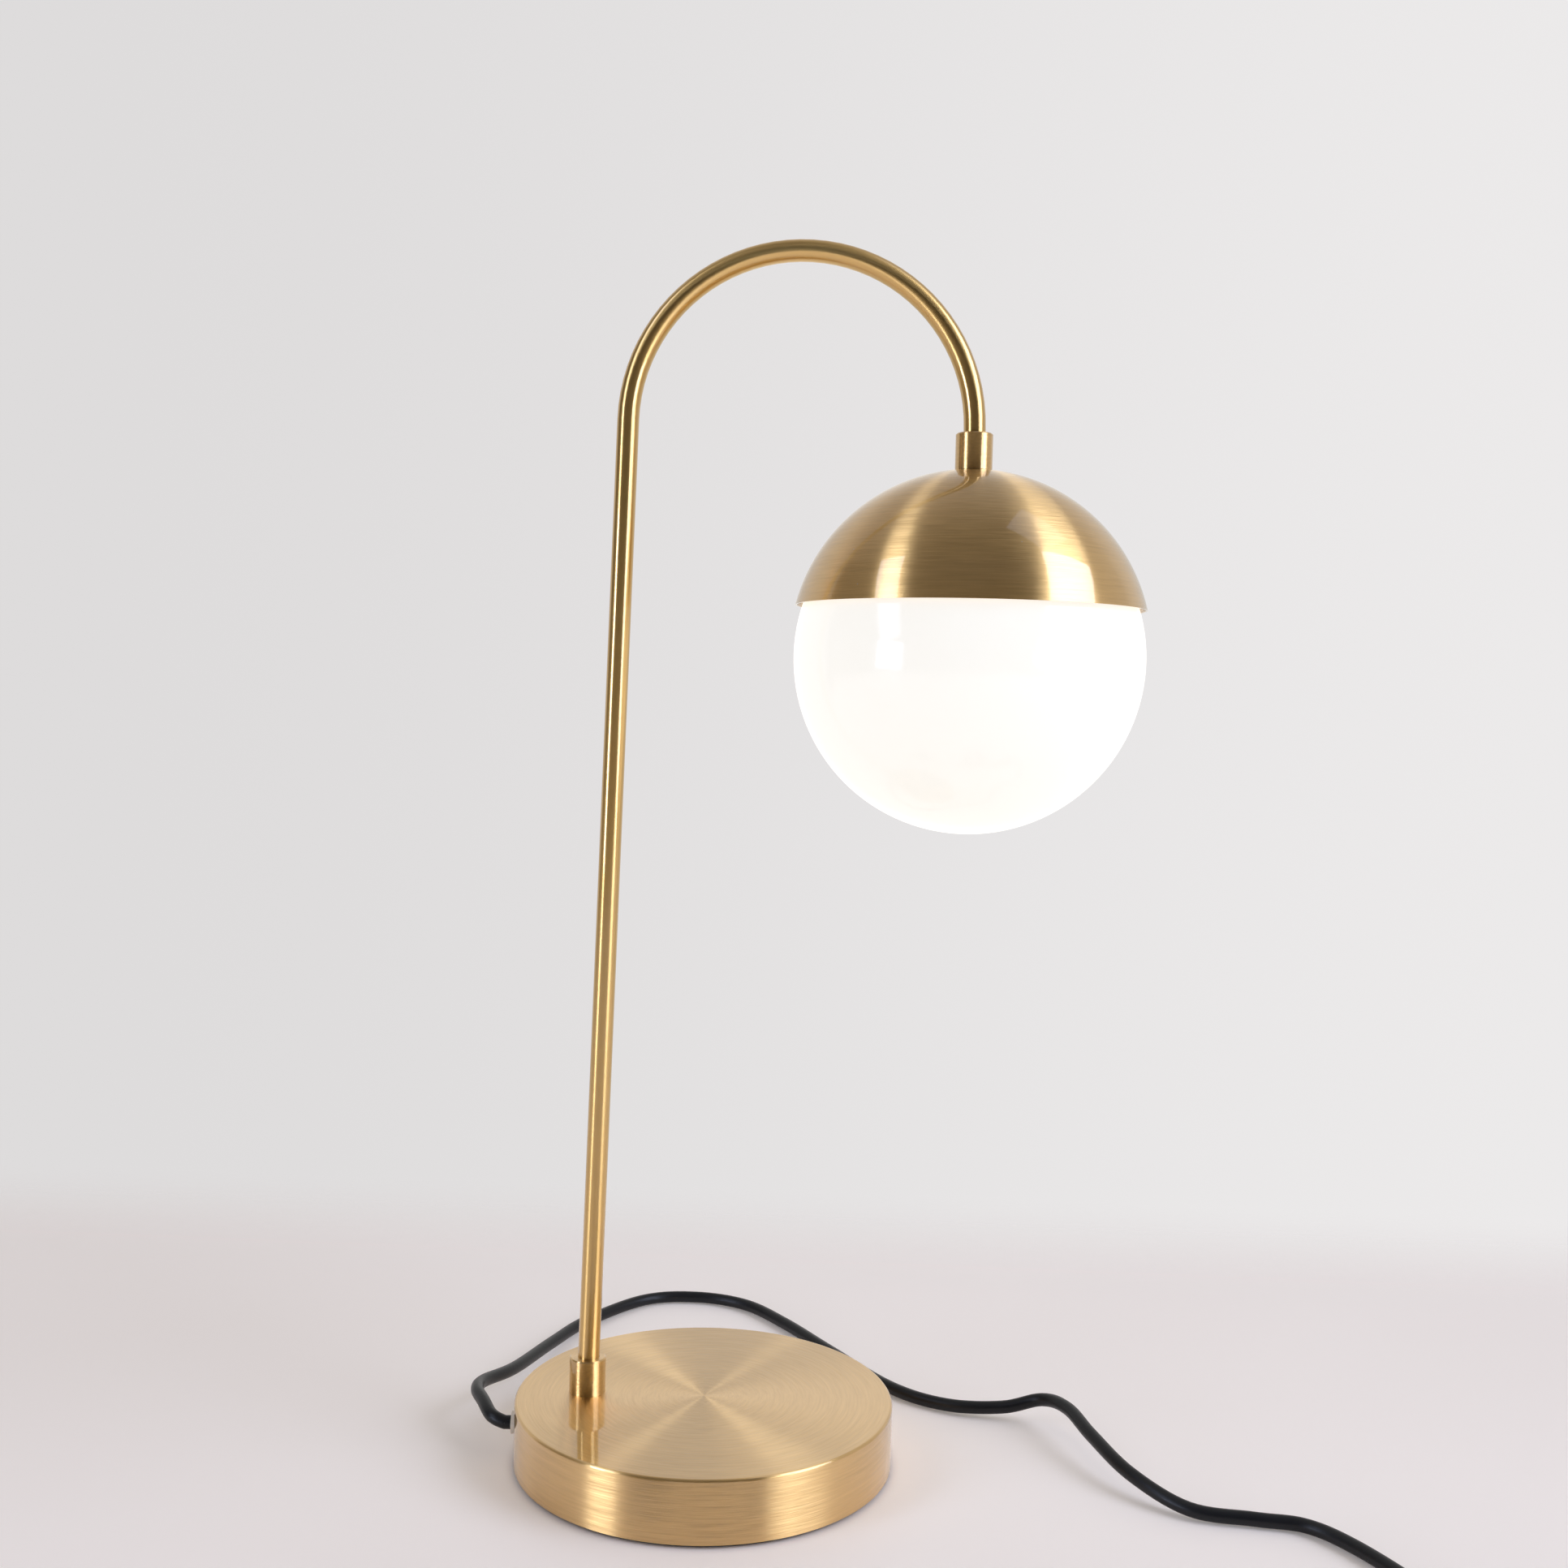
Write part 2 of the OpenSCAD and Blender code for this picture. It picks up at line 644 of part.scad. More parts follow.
// Head
module upper_collar() {
    color(BRASS) difference() {
        at_head(collar_bottom) collar(collar_h);
        at_head(collar_bottom - cut) cylinder(d = nipple_d + 2 * fit, h = socket_depth + fit + cut);
        at_head(collar_bottom) cylinder(d = nipple_bore, h = collar_h);
        at_head(tube_end_z - fit) cylinder(d = tube_d + 2 * fit, h = collar_h);
    }
}
module head_nipple() {
    color(STEEL) at_head(head_nipple_z) bored(nipple_d, nipple_bore, head_nipple_top - head_nipple_z);
}
module shade() {
    color(BRASS) difference() {
        at_head(shade_z) sphere(r = shade_r);
        at_head(shade_z) sphere(r = shade_inner_r);
        at_head(rim_z - 2 * shade_r) cylinder(r = 2 * shade_r, h = 2 * shade_r);
        at_head(shade_z) cylinder(d = shade_hole_d, h = 2 * shade_r);
    }
}
module shade_spacer() {
    color(STEEL) at_head(cap_top) bored(spacer_d, nipple_d + 2 * fit, spacer_top - cap_top);
}
module globe_cap() {
    color(BRASS) difference() {
        at_head(neck_top - cap_grip) cylinder(r = cap_r, h = cap_top - neck_top + cap_grip);
        at_head(neck_top - cap_grip - cut)
            cylinder(r = neck_r + fit, h = cap_under - neck_top + cap_grip + cut);
        at_head(cap_under) cylinder(d = nipple_d + 2 * fit, h = 4 * cap_wall);
    }
}
module globe_seal() {
    color(WHITE) at_head(neck_top) bored(2 * neck_r - 2 * slip, 2 * (neck_r - seal_w), seal_h);
}
module globe() {
    color(OPAL) difference() {
        intersection() {
            at_head(globe_z) sphere(r = globe_r);
            at_head(shoulder_z) mirror([0, 0, 1]) cylinder(r = 2 * globe_r, h = 4 * globe_r);
        }
        intersection() {
            at_head(globe_z) sphere(r = globe_inner_r);
            at_head(shoulder_z - globe_wall) mirror([0, 0, 1]) cylinder(r = 2 * globe_r, h = 4 * globe_r);
        }
        at_head(globe_z) cylinder(r = neck_bore_r, h = 2 * globe_r);
    }
}
module globe_neck() { color(OPAL) at_head(shoulder_z) bored(2 * neck_r, 2 * neck_bore_r, neck_h); }
module lamp_holder() {
    color(WHITE) difference() {
        union() {
            at_head(holder_z) cylinder(d = holder_d, h = holder_h);
            at_head(holder_top - cut) cylinder(d = boss_d, h = boss_h + cut);
        }
        at_head(head_nipple_z - fit) cylinder(d = nipple_d + 2 * fit, h = 2 * boss_h);
        at_head(holder_top - cut) cylinder(d = nipple_bore, h = boss_h);
        at_head(holder_top - wire_room_h) cylinder(d = wire_room_d, h = wire_room_h);
        for (y = [-1, 1]) at_head(holder_z - cut)
            translate([-slot_l / 2, y * contact_y - slot_w / 2, 0])
                cube([slot_l, slot_w, holder_h - wire_room_h + 2 * cut]);
    }
}
module holder_contacts() {
    clip_z = holder_top - wire_room_h - clip_h;
    color(COPPER) for (y = [-1, 1]) at_head(clip_z) translate([0, y * contact_y, 0]) {
        for (leaf = [-1, 1]) translate([0, leaf * (slot_w / 2 - slip - clip_wall / 2), clip_h / 2])
            cube([slot_l - 2 * slip, clip_wall, clip_h], center = true);
        translate([0, 0, clip_h - clip_wall / 2])
            cube([slot_l - 2 * slip, slot_w - 2 * slip, clip_wall], center = true);
    }
}
module bulb_pins() {
    color(STEEL) for (y = [-1, 1]) at_head(bulb_top) translate([0, y * contact_y, 0]) {
        for (x = [-1, 1]) translate([x * pin_loop_w / 2, 0, -pin_wire_sunk])
            cylinder(d = pin_wire_d, h = pin_h + pin_wire_sunk - pin_loop_w / 2);
        translate([0, 0, pin_h - pin_loop_w / 2]) rotate([90, 0, 0])
            rotate_extrude(angle = 180) translate([pin_loop_w / 2, 0]) circle(d = pin_wire_d);
    }
}
module bulb_base() {
    color(WHITE) difference() {
        at_head(bulb_top - bulb_base_h) cylinder(d = bulb_base_d, h = bulb_base_h);
        for (y = [-1, 1], x = [-1, 1])
            at_head(bulb_top - pin_wire_sunk) translate([x * pin_loop_w / 2, y * contact_y, 0])
                cylinder(d = pin_wire_d + 2 * fit, h = pin_wire_sunk + cut);
    }
}
module bulb_strip() {
    color(OPAL) at_head(bulb_top - bulb_base_h - strip_h) translate([-strip_wall / 2, -strip_w / 2, 0])
        cube([strip_wall, strip_w, strip_h]);
}
module bulb_form(r) {
    at_head(bulb_top - bulb_h + bulb_d / 2) {
        cylinder(r = r, h = bulb_h - bulb_d / 2 - bulb_base_show);
        sphere(r = r);
    }
}
module bulb_cover() {
    color(OPAL) difference() {
        bulb_form(bulb_d / 2);
        difference() {
            bulb_form(bulb_d / 2 - bulb_cover_wall);
            at_head(bulb_top - bulb_base_h) cylinder(d = 2 * bulb_d, h = bulb_h);
        }
        at_head(bulb_top - bulb_base_h) cylinder(d = bulb_base_d + 2 * fit, h = bulb_h);
    }
}

// Cord
function cord_out(far) = at_turn(base_r + flange_h + far, exit_turn, exit_z);
function cord_run_line() = smooth_between(
    concat([cord_out(0), cord_out(cord_stub)], CORD_ROUTE, [switch_in + [cord_d, 0, 0], switch_in]),
    cord_steps);
function cord_lead_line() = smooth_between(
    concat([switch_out, switch_out - [switch_straight, 0, 0]], LEAD_ROUTE,
        [coil_in + [cord_d, 0, 0], coil_in]), cord_steps);
function cord_tail_line() = smooth_between(
    concat([coil_out, coil_out - [coil_straight, 0, 0]], TAIL_ROUTE,
        [plug_at + [cord_d, 0, 0], plug_at]), cord_steps);
module cord_run() { color(BLACK) tube(cord_run_line(), cord_d, CORD_SIDES); }
module cord_lead() { color(BLACK) tube(cord_lead_line(), cord_d, CORD_SIDES); }
module cord_coil() { color(BLACK) tube(coil_line(), cord_d, COIL_SIDES); }
module cord_tail() { color(BLACK) tube(cord_tail_line(), cord_d, CORD_SIDES); }

// Switch
module switch_shell(from, to, room_from, room_to) {
    difference() {
        translate([0, 0, from]) linear_extrude(to - from) rounded(switch_l, switch_w, switch_corner);
        translate([0, 0, room_from]) linear_extrude(room_to - room_from)
            rounded(switch_l - 2 * grip_l, switch_w - 2 * switch_wall, switch_corner - switch_wall);
    }
}
module switch_boss_places() {
    for (s = [-1, 1]) translate([s * switch_boss_at[0], s * switch_boss_at[1], 0]) children();
}
module switch_base() {
    color(BLACK) at_switch() difference() {
        union() {
            switch_shell(0, switch_split, switch_wall, switch_split + cut);
            switch_boss_places() cylinder(d = switch_boss_d, h = switch_split);
        }
        translate([0, 0, switch_split]) rod_x(cord_d + 2 * fit, -switch_l, switch_l);
        switch_boss_places() translate([0, 0, -cut]) {
            cylinder(d = switch_screw_d + slip, h = switch_h);
            cylinder(d = switch_head_d + slip, h = switch_head_sink + cut);
        }
    }
}
module switch_cover() {
    roof = switch_h - switch_wall;
    cheek_z = rocker_z - cheek_drop;
    color(BLACK) at_switch() difference() {
        union() {
            switch_shell(switch_split, switch_h, switch_split - cut, roof);
            switch_boss_places() translate([0, 0, switch_split])
                cylinder(d = switch_boss_d, h = roof - switch_split + cut);
            for (s = [-1, 1])
                translate([-cheek_l / 2, s * (rocker_room_w + cheek_wall) / 2 - cheek_wall / 2, cheek_z])
                    cube([cheek_l, cheek_wall, roof - cheek_z + cut]);
        }
        translate([-rocker_hole_l / 2, -rocker_room_w / 2, rocker_z - 2 * cheek_drop])
            cube([rocker_hole_l, rocker_room_w, switch_h]);
        translate([0, 0, switch_split]) rod_x(cord_d + 2 * fit, -switch_l, switch_l);
        translate([0, switch_w / 2 - switch_wall, rocker_z]) rotate([90, 0, 0])
            cylinder(d = rocker_pin_d + 2 * fit, h = switch_w - 2 * switch_wall);
        switch_boss_places() translate([0, 0, switch_split - cut])
            cylinder(d = switch_screw_d + 2 * fit, h = roof - switch_split);
    }
}
module switch_rocker() {
    end_x = rocker_l / 2;
    color(STEEL) at_switch() translate([0, 0, rocker_z]) rotate([0, rocker_tilt, 0]) {
        rotate([90, 0, 0]) translate([0, 0, -rocker_w / 2]) linear_extrude(rocker_w) polygon([
            [-end_x, rocker_rise], [-end_x, -rocker_skirt],
            [-rocker_dip, -rocker_dip], [rocker_dip, -rocker_dip],
            [end_x, -rocker_skirt], [end_x, rocker_rise], [0, rocker_rise - rocker_hollow]
        ]);
        rotate([90, 0, 0]) translate([0, 0, -rocker_w / 2 - rocker_pin_l])
            cylinder(d = rocker_pin_d, h = rocker_w + 2 * rocker_pin_l);
    }
}
module switch_screws() {
    grip = switch_h - switch_wall - switch_head_sink - 2 * cut;
    color(STEEL) at_switch() switch_boss_places() translate([0, 0, switch_head_sink]) mirror([0, 0, 1])
        screw(switch_screw_d, grip, switch_head_d, switch_head_h);
}
// Two blades in one line with the switched core, bridged by a strip above them
module switch_contacts() {
    color(COPPER) at_switch() translate([0, -contact_side, switch_split]) {
        for (s = [-1, 1]) {
            translate([s * blade_x, 0, 0]) cube([blade_l, blade_w, blade_wall], center = true);
            translate([s * (blade_x - blade_l / 2 + blade_wall / 2), 0, blade_lift / 2])
                cube([blade_wall, blade_w, blade_lift + blade_wall], center = true);
        }
        translate([0, 0, blade_lift])
            cube([2 * blade_x - blade_l + 2 * blade_wall, blade_w, blade_wall], center = true);
    }
}
module switch_cores() {
    room_end = switch_l / 2 - grip_l;
    color(BLACK) at_switch() translate([0, 0, switch_split]) {
        for (s = [-1, 1]) translate([s * (room_end + grip_l / 2), 0, 0])
            rod_x(cord_d, -grip_l / 2, grip_l / 2);
        translate([0, core_side, 0]) rod_x(core_d, -room_end, room_end);
        for (s = [-1, 1]) translate([s * (room_end + core_stop) / 2, -core_side, 0])
            rod_x(core_d, -(room_end - core_stop) / 2, (room_end - core_stop) / 2);
    }
}

// Plug: the cord comes in at its +X end, and its pins point to -X
module plug_outline() {
    side = plug_w / 2;
    shoulder_x = -plug_l / 2 - plug_edge;
    polygon(concat(
        [[-plug_l, -side], [-plug_l, side]],
        arc([shoulder_x, side - plug_shoulder_r], plug_shoulder_r, 90, 30, 6),
        [[0, relief_d / 2], [0, -relief_d / 2]],
        arc([shoulder_x, plug_shoulder_r - side], plug_shoulder_r, -30, -90, 6)
    ));
}
module plug_side() {
    top = plug_h / 2;
    polygon([
        [-plug_l, plug_edge - top], [-plug_l, top - plug_edge], [plug_edge - plug_l, top],
        [-plug_nose, top], [0, relief_d / 2], [0, -relief_d / 2],
        [-plug_nose, -top], [plug_edge - plug_l, -top]
    ]);
}
module plug_body() {
    color(BLACK) at_plug() translate([-relief_l, 0, 0]) difference() {
        union() {
            intersection() {
                translate([0, 0, -plug_h]) linear_extrude(2 * plug_h) plug_outline();
                rotate([90, 0, 0]) translate([0, 0, -plug_w]) linear_extrude(2 * plug_w) plug_side();
            }
            translate([-cut, 0, 0]) rotate([0, 90, 0])
                cylinder(d1 = relief_d, d2 = cord_d + relief_lip, h = relief_l + cut);
        }
        for (y = [-1, 1]) translate([-plug_l, y * plug_pin_gap / 2, 0])
            rod_x(pin_core_d + 2 * fit, -cut, pin_sunk);
    }
}
module plug_pins() {
    color(STEEL) at_plug() for (y = [-1, 1]) translate([-relief_l - plug_l, y * plug_pin_gap / 2, 0]) {
        rod_x(pin_core_d, -pin_sleeve_l, pin_sunk);
        rod_x(plug_pin_d, -plug_pin_l + pin_tip, -pin_sleeve_l);
        rod_x(plug_pin_d - pin_tip, -plug_pin_l, -plug_pin_l + pin_tip);
    }
}
module pin_sleeves() {
    color(BLACK) at_plug() for (y = [-1, 1])
        translate([-relief_l - plug_l, y * plug_pin_gap / 2, 0]) rotate([0, -90, 0])
            bored(plug_pin_d - pin_sleeve_step, pin_core_d + 2 * fit, pin_sleeve_l);
}

// Least space between the coil's turns, measured on its ring centres, and the free cord's length
coil_points = coil_line();
coil_least = min([for (i = [0:len(coil_points) - 1]) for (k = [i + 6:1:len(coil_points) - 1])
    norm(coil_points[i] - coil_points[k])]) - cord_d;
echo(coil_least_gap = coil_least);
echo(cord_lengths = [
    for (line = [cord_run_line(), cord_lead_line(), coil_points, cord_tail_line()]) along(line)
]);

base_shell();
stem_plate();
weight_studs();
base_weight();
weight_screws();
base_pad();
cord_bushing();
cord_inner();
cord_clamp();
clamp_screws();
terminal_block();
terminal_sleeves();
terminal_screws();
supply_cores();
lower_collar();
base_nipple();
base_washer();
nipple_nuts();
stem_tube();
lamp_wires();
upper_collar();
head_nipple();
shade();
shade_spacer();
globe_cap();
globe_seal();
globe();
globe_neck();
lamp_holder();
holder_contacts();
bulb_pins();
bulb_base();
bulb_strip();
bulb_cover();
cord_run();
cord_lead();
cord_coil();
cord_tail();
switch_base();
switch_cover();
switch_rocker();
switch_screws();
switch_contacts();
switch_cores();
plug_body();
plug_pins();
pin_sleeves();
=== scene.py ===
# %% [markdown]
# A table lamp in brushed brass, with a lit opal globe under a dome. The construction comes from the CAD
# model, which is the fixed frame of this scene: every metal, glass and plastic piece is already there at
# its real size. This file adds what CAD can't hold, which is the finish of each surface, the cord at its
# real length, the light and the camera.

# %% Load the frame
import math
import bpy
from mathutils import Matrix, Vector


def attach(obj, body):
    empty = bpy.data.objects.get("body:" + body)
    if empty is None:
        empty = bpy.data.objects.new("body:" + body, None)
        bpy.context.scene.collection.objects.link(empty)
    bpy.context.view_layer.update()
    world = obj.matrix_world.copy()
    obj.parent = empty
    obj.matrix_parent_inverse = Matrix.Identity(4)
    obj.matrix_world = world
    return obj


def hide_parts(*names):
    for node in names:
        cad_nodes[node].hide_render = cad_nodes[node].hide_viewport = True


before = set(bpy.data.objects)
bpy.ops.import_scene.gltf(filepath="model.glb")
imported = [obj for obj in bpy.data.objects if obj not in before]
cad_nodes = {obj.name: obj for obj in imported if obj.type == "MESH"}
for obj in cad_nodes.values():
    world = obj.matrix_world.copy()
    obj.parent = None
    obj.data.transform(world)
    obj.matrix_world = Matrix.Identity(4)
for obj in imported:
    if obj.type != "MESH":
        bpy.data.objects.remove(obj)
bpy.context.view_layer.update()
print("CAD nodes:", len(cad_nodes))

# %% [markdown]
# The camera stands where the photographer's stood, a little right of the lamp and a little above its
# middle. It is set by its own place and by how it is turned, not by aiming it at something, because a
# hand-held camera is turned, tipped and rolled by small amounts that an aim would lose. The lens is a
# focal length on a sensor 36 mm wide.

# %% Camera
CAMERA_PLACE = Vector((0.0623, -0.7438, 0.3355))
CAMERA_YAW = math.radians(2.57)
CAMERA_PITCH = math.radians(-2.81)
CAMERA_ROLL = math.radians(1.35)
SENSOR_WIDTH = 36.0
LENS = 39.48


def make_camera():
    """A camera looks along its own -Z, so it is raised to look along +Y, then pitched, rolled and turned."""
    data = bpy.data.cameras.new("camera")
    data.sensor_fit = "HORIZONTAL"
    data.sensor_width = SENSOR_WIDTH
    data.lens = LENS
    data.clip_start = 0.01
    data.clip_end = 50.0
    camera = bpy.data.objects.new("camera", data)
    bpy.context.scene.collection.objects.link(camera)
    turn = Matrix.Rotation(CAMERA_YAW, 4, "Z")
    tip = Matrix.Rotation(math.radians(90) + CAMERA_PITCH, 4, "X")
    roll = Matrix.Rotation(CAMERA_ROLL, 4, "Z")
    camera.matrix_world = Matrix.Translation(CAMERA_PLACE) @ turn @ tip @ roll
    bpy.context.scene.camera = camera


make_camera()
print("camera lens", LENS, "mm at", tuple(round(v, 3) for v in CAMERA_PLACE))

# %% [markdown]
# The cord is 6 mm PVC. It leaves the base through a bushing at the back left, turns back at once, swings
# round behind the base, lifts off the table for a hand's width at the right, and lies down again towards
# the front corner. A cord is a curve through a few points with a round bevel: the curve then is the
# cord's own centre line, so its length can be measured. The same smooth line is worked out here as in the
# CAD model, so the two lie in one place.

# %% Smooth lines through points
CORD_D = 0.006
LINE_STEPS = 8


def spline_point(a, b, c, d, t):
    """A point between b and c on the smooth line through a, b, c and d."""
    return (2 * b + (c - a) * t + (2 * a - 5 * b + 4 * c - d) * t**2 + (3 * b - a - 3 * c + d) * t**3) / 2


def smooth_line(points):
    """A smooth line through points, with straight first and last stretches, so that its ends are square."""
    points = [Vector(p) for p in points]
    padded = [2 * points[0] - points[1], *points, 2 * points[-1] - points[-2]]
    line = [points[0]]
    for i in range(1, len(points) - 2):
        for step in range(LINE_STEPS):
            line.append(spline_point(*padded[i : i + 4], step / LINE_STEPS))
    return [*line, points[-2], points[-1]]


def line_length(line):
    return sum((b - a).length for a, b in zip(line, line[1:]))


# %% [markdown]
# The route is set point by point, one where the direction changes. Each point is the middle of the cord,
# so a height of 3.1 mm is a cord that lies on the table. Past the edge of the picture it goes on in the
# same easy bends to the switch.

# %% Cord route
EXIT_TURN = math.radians(184)
BASE_RADIUS = 0.083
BUSHING_REACH = 0.0016
EXIT_RADIUS = BASE_RADIUS + BUSHING_REACH
EXIT_HEIGHT = 0.0144
CORD_STUB = 0.003
CORD_ROUTE = [
    (-0.094, -0.003, 0.016), (-0.100, 0.008, 0.0175), (-0.106, 0.022, 0.017), (-0.1065, 0.038, 0.0145),
    (-0.098, 0.067, 0.0095), (-0.088, 0.113, 0.005), (-0.076, 0.149, 0.0033), (-0.050, 0.185, 0.0031),
    (-0.022, 0.193, 0.0031), (0.006, 0.184, 0.0031), (0.029, 0.158, 0.0031), (0.054, 0.121, 0.0031),
    (0.084, 0.078, 0.0031), (0.110, 0.0595, 0.0034), (0.136, 0.053, 0.006), (0.154, 0.049, 0.012),
    (0.164, 0.034, 0.0145), (0.172, 0.010, 0.0125), (0.185, -0.018, 0.0085), (0.206, -0.038, 0.0038),
    (0.232, -0.043, 0.0031), (0.252, -0.047, 0.0031), (0.267, -0.063, 0.0031), (0.283, -0.093, 0.0031),
    (0.292, -0.121, 0.0034), (0.286, -0.145, 0.0055),
]
SWITCH_IN = Vector((0.256, -0.155, 0.009))
SWITCH_OUT = Vector((0.198, -0.155, 0.009))


def exit_point(far):
    """A point on the line on which the cord leaves the base, so far from the bushing's face."""
    out = EXIT_RADIUS + far
    return Vector((out * math.cos(EXIT_TURN), out * math.sin(EXIT_TURN), EXIT_HEIGHT))


run_line = smooth_line(
    [exit_point(0), exit_point(CORD_STUB), *CORD_ROUTE, SWITCH_IN + Vector((CORD_D, 0, 0)), SWITCH_IN]
)
print("cord from base to switch:", round(line_length(run_line), 3), "m")

# %% [markdown]
# Past the edge of the picture the cord goes through a switch to a plug, and what is left of its length is
# put away in a flat round coil: it spirals in on the table, climbs a layer, and spirals out again on top.

# %% Coil and plug route
COIL_CENTRE = Vector((0.130, -0.1916, 0.0031))
COIL_RADIUS = 0.0366
COIL_PITCH = 0.0066
COIL_LOOPS = 4
COIL_STEPS = 48
PLUG_POINT = Vector((-0.018, -0.155, 0.007))
LEAD_ROUTE = [(0.191, -0.155, 0.009), (0.172, -0.155, 0.0056), (0.150, -0.155, 0.0033)]
TAIL_ROUTE = [
    (0.114, -0.155, 0.0097), (0.092, -0.155, 0.008), (0.066, -0.157, 0.004), (0.040, -0.161, 0.0031),
    (0.014, -0.159, 0.0044),
]


def coil_point(t):
    """The coil's line after t loops. It climbs one layer in the half loop round its middle."""
    radius = COIL_RADIUS - COIL_PITCH * min(t, COIL_LOOPS - t)
    climb = min(1, max(0, (t - COIL_LOOPS / 2) * 2 + 0.5))
    turn = math.pi / 2 + 2 * math.pi * t
    return COIL_CENTRE + Vector((radius * math.cos(turn), radius * math.sin(turn), COIL_PITCH * climb))


coil_in = COIL_CENTRE + Vector((CORD_D, COIL_RADIUS, 0))
coil_out = COIL_CENTRE + Vector((-CORD_D, COIL_RADIUS, COIL_PITCH))
lead_line = smooth_line([SWITCH_OUT, *LEAD_ROUTE, coil_in + Vector((CORD_D, 0, 0)), coil_in])
coil_line = [coil_point(i / COIL_STEPS) for i in range(COIL_LOOPS * COIL_STEPS + 1)]
tail_line = smooth_line([coil_out, *TAIL_ROUTE, PLUG_POINT + Vector((CORD_D, 0, 0)), PLUG_POINT])
plug_line = [*lead_line, *coil_line, *tail_line]
print("cord from switch to plug:", round(line_length(plug_line), 3), "m")

# %% [markdown]
# Each cord is one round tube along its line, hung on the lamp's body. It takes the place of the CAD
# pieces of the same stretch, which are hidden.

# %% Cord pieces


def make_cord(name, line):
    """A round cord along a line, with closed ends. Its points carry the radius, so its box stays true."""
    data = bpy.data.curves.new(name, "CURVE")
    data.dimensions = "3D"
    data.bevel_depth = 1.0
    data.bevel_resolution = 5
    data.use_fill_caps = True
    spline = data.splines.new("POLY")
    spline.points.add(len(line) - 1)
    for point, place in zip(spline.points, line):
        point.co = (*place, 1)
        point.radius = CORD_D / 2
    cord = bpy.data.objects.new(name, data)
    bpy.context.scene.collection.objects.link(cord)
    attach(cord, "lamp")
    return cord


base_cord = make_cord("base_cord", run_line)
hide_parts("cord_run")
plug_cord = make_cord("plug_cord", plug_line)
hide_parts("cord_lead", "cord_coil", "cord_tail")
print("cords made:", base_cord.name, plug_cord.name)

# %% [markdown]
# The coil is held by a thin band of black film round all its turns, at the side away from where the cord
# comes in. A band follows the outline of what it holds, so its path is a rectangle with corners as round
# as the cord. Extruding a path sideways by hand keeps the film as thin as it is.

# %% Coil tie
TIE_GAP = 0.00001
TIE_WALL = 0.00008
TIE_WIDTH = 0.011
TIE_CORNER_STEPS = 6


def tie_outline(grow):
    """The band's outline round the four cords it holds, as steps out from the coil's centre and up."""
    near = COIL_RADIUS - 1.5 * COIL_PITCH
    far = COIL_RADIUS - COIL_PITCH / 2
    corners = [(far, 0, -90), (far, COIL_PITCH, 0), (near, COIL_PITCH, 90), (near, 0, 180)]
    outline = []
    for out, up, first in corners:
        for step in range(TIE_CORNER_STEPS + 1):
            turn = math.radians(first + 90 * step / TIE_CORNER_STEPS)
            reach = CORD_D / 2 + grow
            outline.append((out + reach * math.cos(turn), up + reach * math.sin(turn)))
    return outline


def make_tie():
    """A closed loop of film: an inner and an outer wall, joined along both edges."""
    loops = []
    for grow, side in ((TIE_GAP, -1), (TIE_GAP, 1), (TIE_WALL, 1), (TIE_WALL, -1)):
        loops.append([
            COIL_CENTRE + Vector((side * TIE_WIDTH / 2, -out, up)) for out, up in tie_outline(grow)
        ])
    count = len(loops[0])
    corners = [point for loop in loops for point in loop]
    faces = []
    for ring in range(len(loops)):
        after = (ring + 1) % len(loops)
        for i in range(count):
            j = (i + 1) % count
            faces.append((ring * count + i, ring * count + j, after * count + j, after * count + i))
    data = bpy.data.meshes.new("coil_tie")
    data.from_pydata(corners, [], faces)
    tie = bpy.data.objects.new("coil_tie", data)
    bpy.context.scene.collection.objects.link(tie)
    for face in data.polygons:
        face.use_smooth = True
    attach(tie, "lamp")
    return tie


coil_tie = make_tie()
print("coil tie faces:", len(coil_tie.data.polygons))

# %% [markdown]
# Every finish below is made of shader nodes, so nothing depends on a picture file. A few small helpers
# keep the recipes readable. They add a node, give a socket either a link or a plain value, work out a sum
# or a step with vectors, mix two colours, and turn a mask into a range of values or into a soft step.

# %% Node helpers


def give(tree, value, target):
    """A socket becomes a link, and anything else a plain value."""
    if isinstance(value, bpy.types.NodeSocket):
        tree.links.new(value, target)
    else:
        target.default_value = value


def add_node(tree, kind, inputs=None, **settings):
    """A new node with its settings, and then its inputs by name or number."""
    node = tree.nodes.new(kind)
    for name, value in settings.items():
        setattr(node, name, value)
    for name, value in (inputs or {}).items():
        give(tree, value, node.inputs[name])
    return node


def work_out(tree, operation, first, second=0.0):
    return add_node(tree, "ShaderNodeMath", {0: first, 1: second}, operation=operation).outputs[0]


def work_vector(tree, operation, inputs, output=0):
    """One step with vectors. A length or a distance comes out as its Value."""
    return add_node(tree, "ShaderNodeVectorMath", inputs, operation=operation).outputs[output]


def mix_colours(tree, share, first, second):
    """The first colour where share is 0, and the second where it is 1."""
    node = add_node(tree, "ShaderNodeMix", {0: share, 6: first, 7: second}, data_type="RGBA")
    return node.outputs[2]


def spread(tree, value, low, high):
    """A mask from 0 to 1 becomes a value from low to high."""
    return add_node(tree, "ShaderNodeMapRange", {"Value": value, "To Min": low, "To Max": high}).outputs[0]


def step_up(tree, value, low, high):
    """A soft step: 0 below low, 1 above high."""
    settings = {"Value": value, "From Min": low, "From Max": high}
    return add_node(tree, "ShaderNodeMapRange", settings, interpolation_type="SMOOTHSTEP").outputs[0]


# %% [markdown]
# An effect that several finishes share is a node group. It has named inputs, so each material can set its
# own scale, and it gives out only masks, heights and normals. The shader itself stays in the material.

# %% Group and material starters


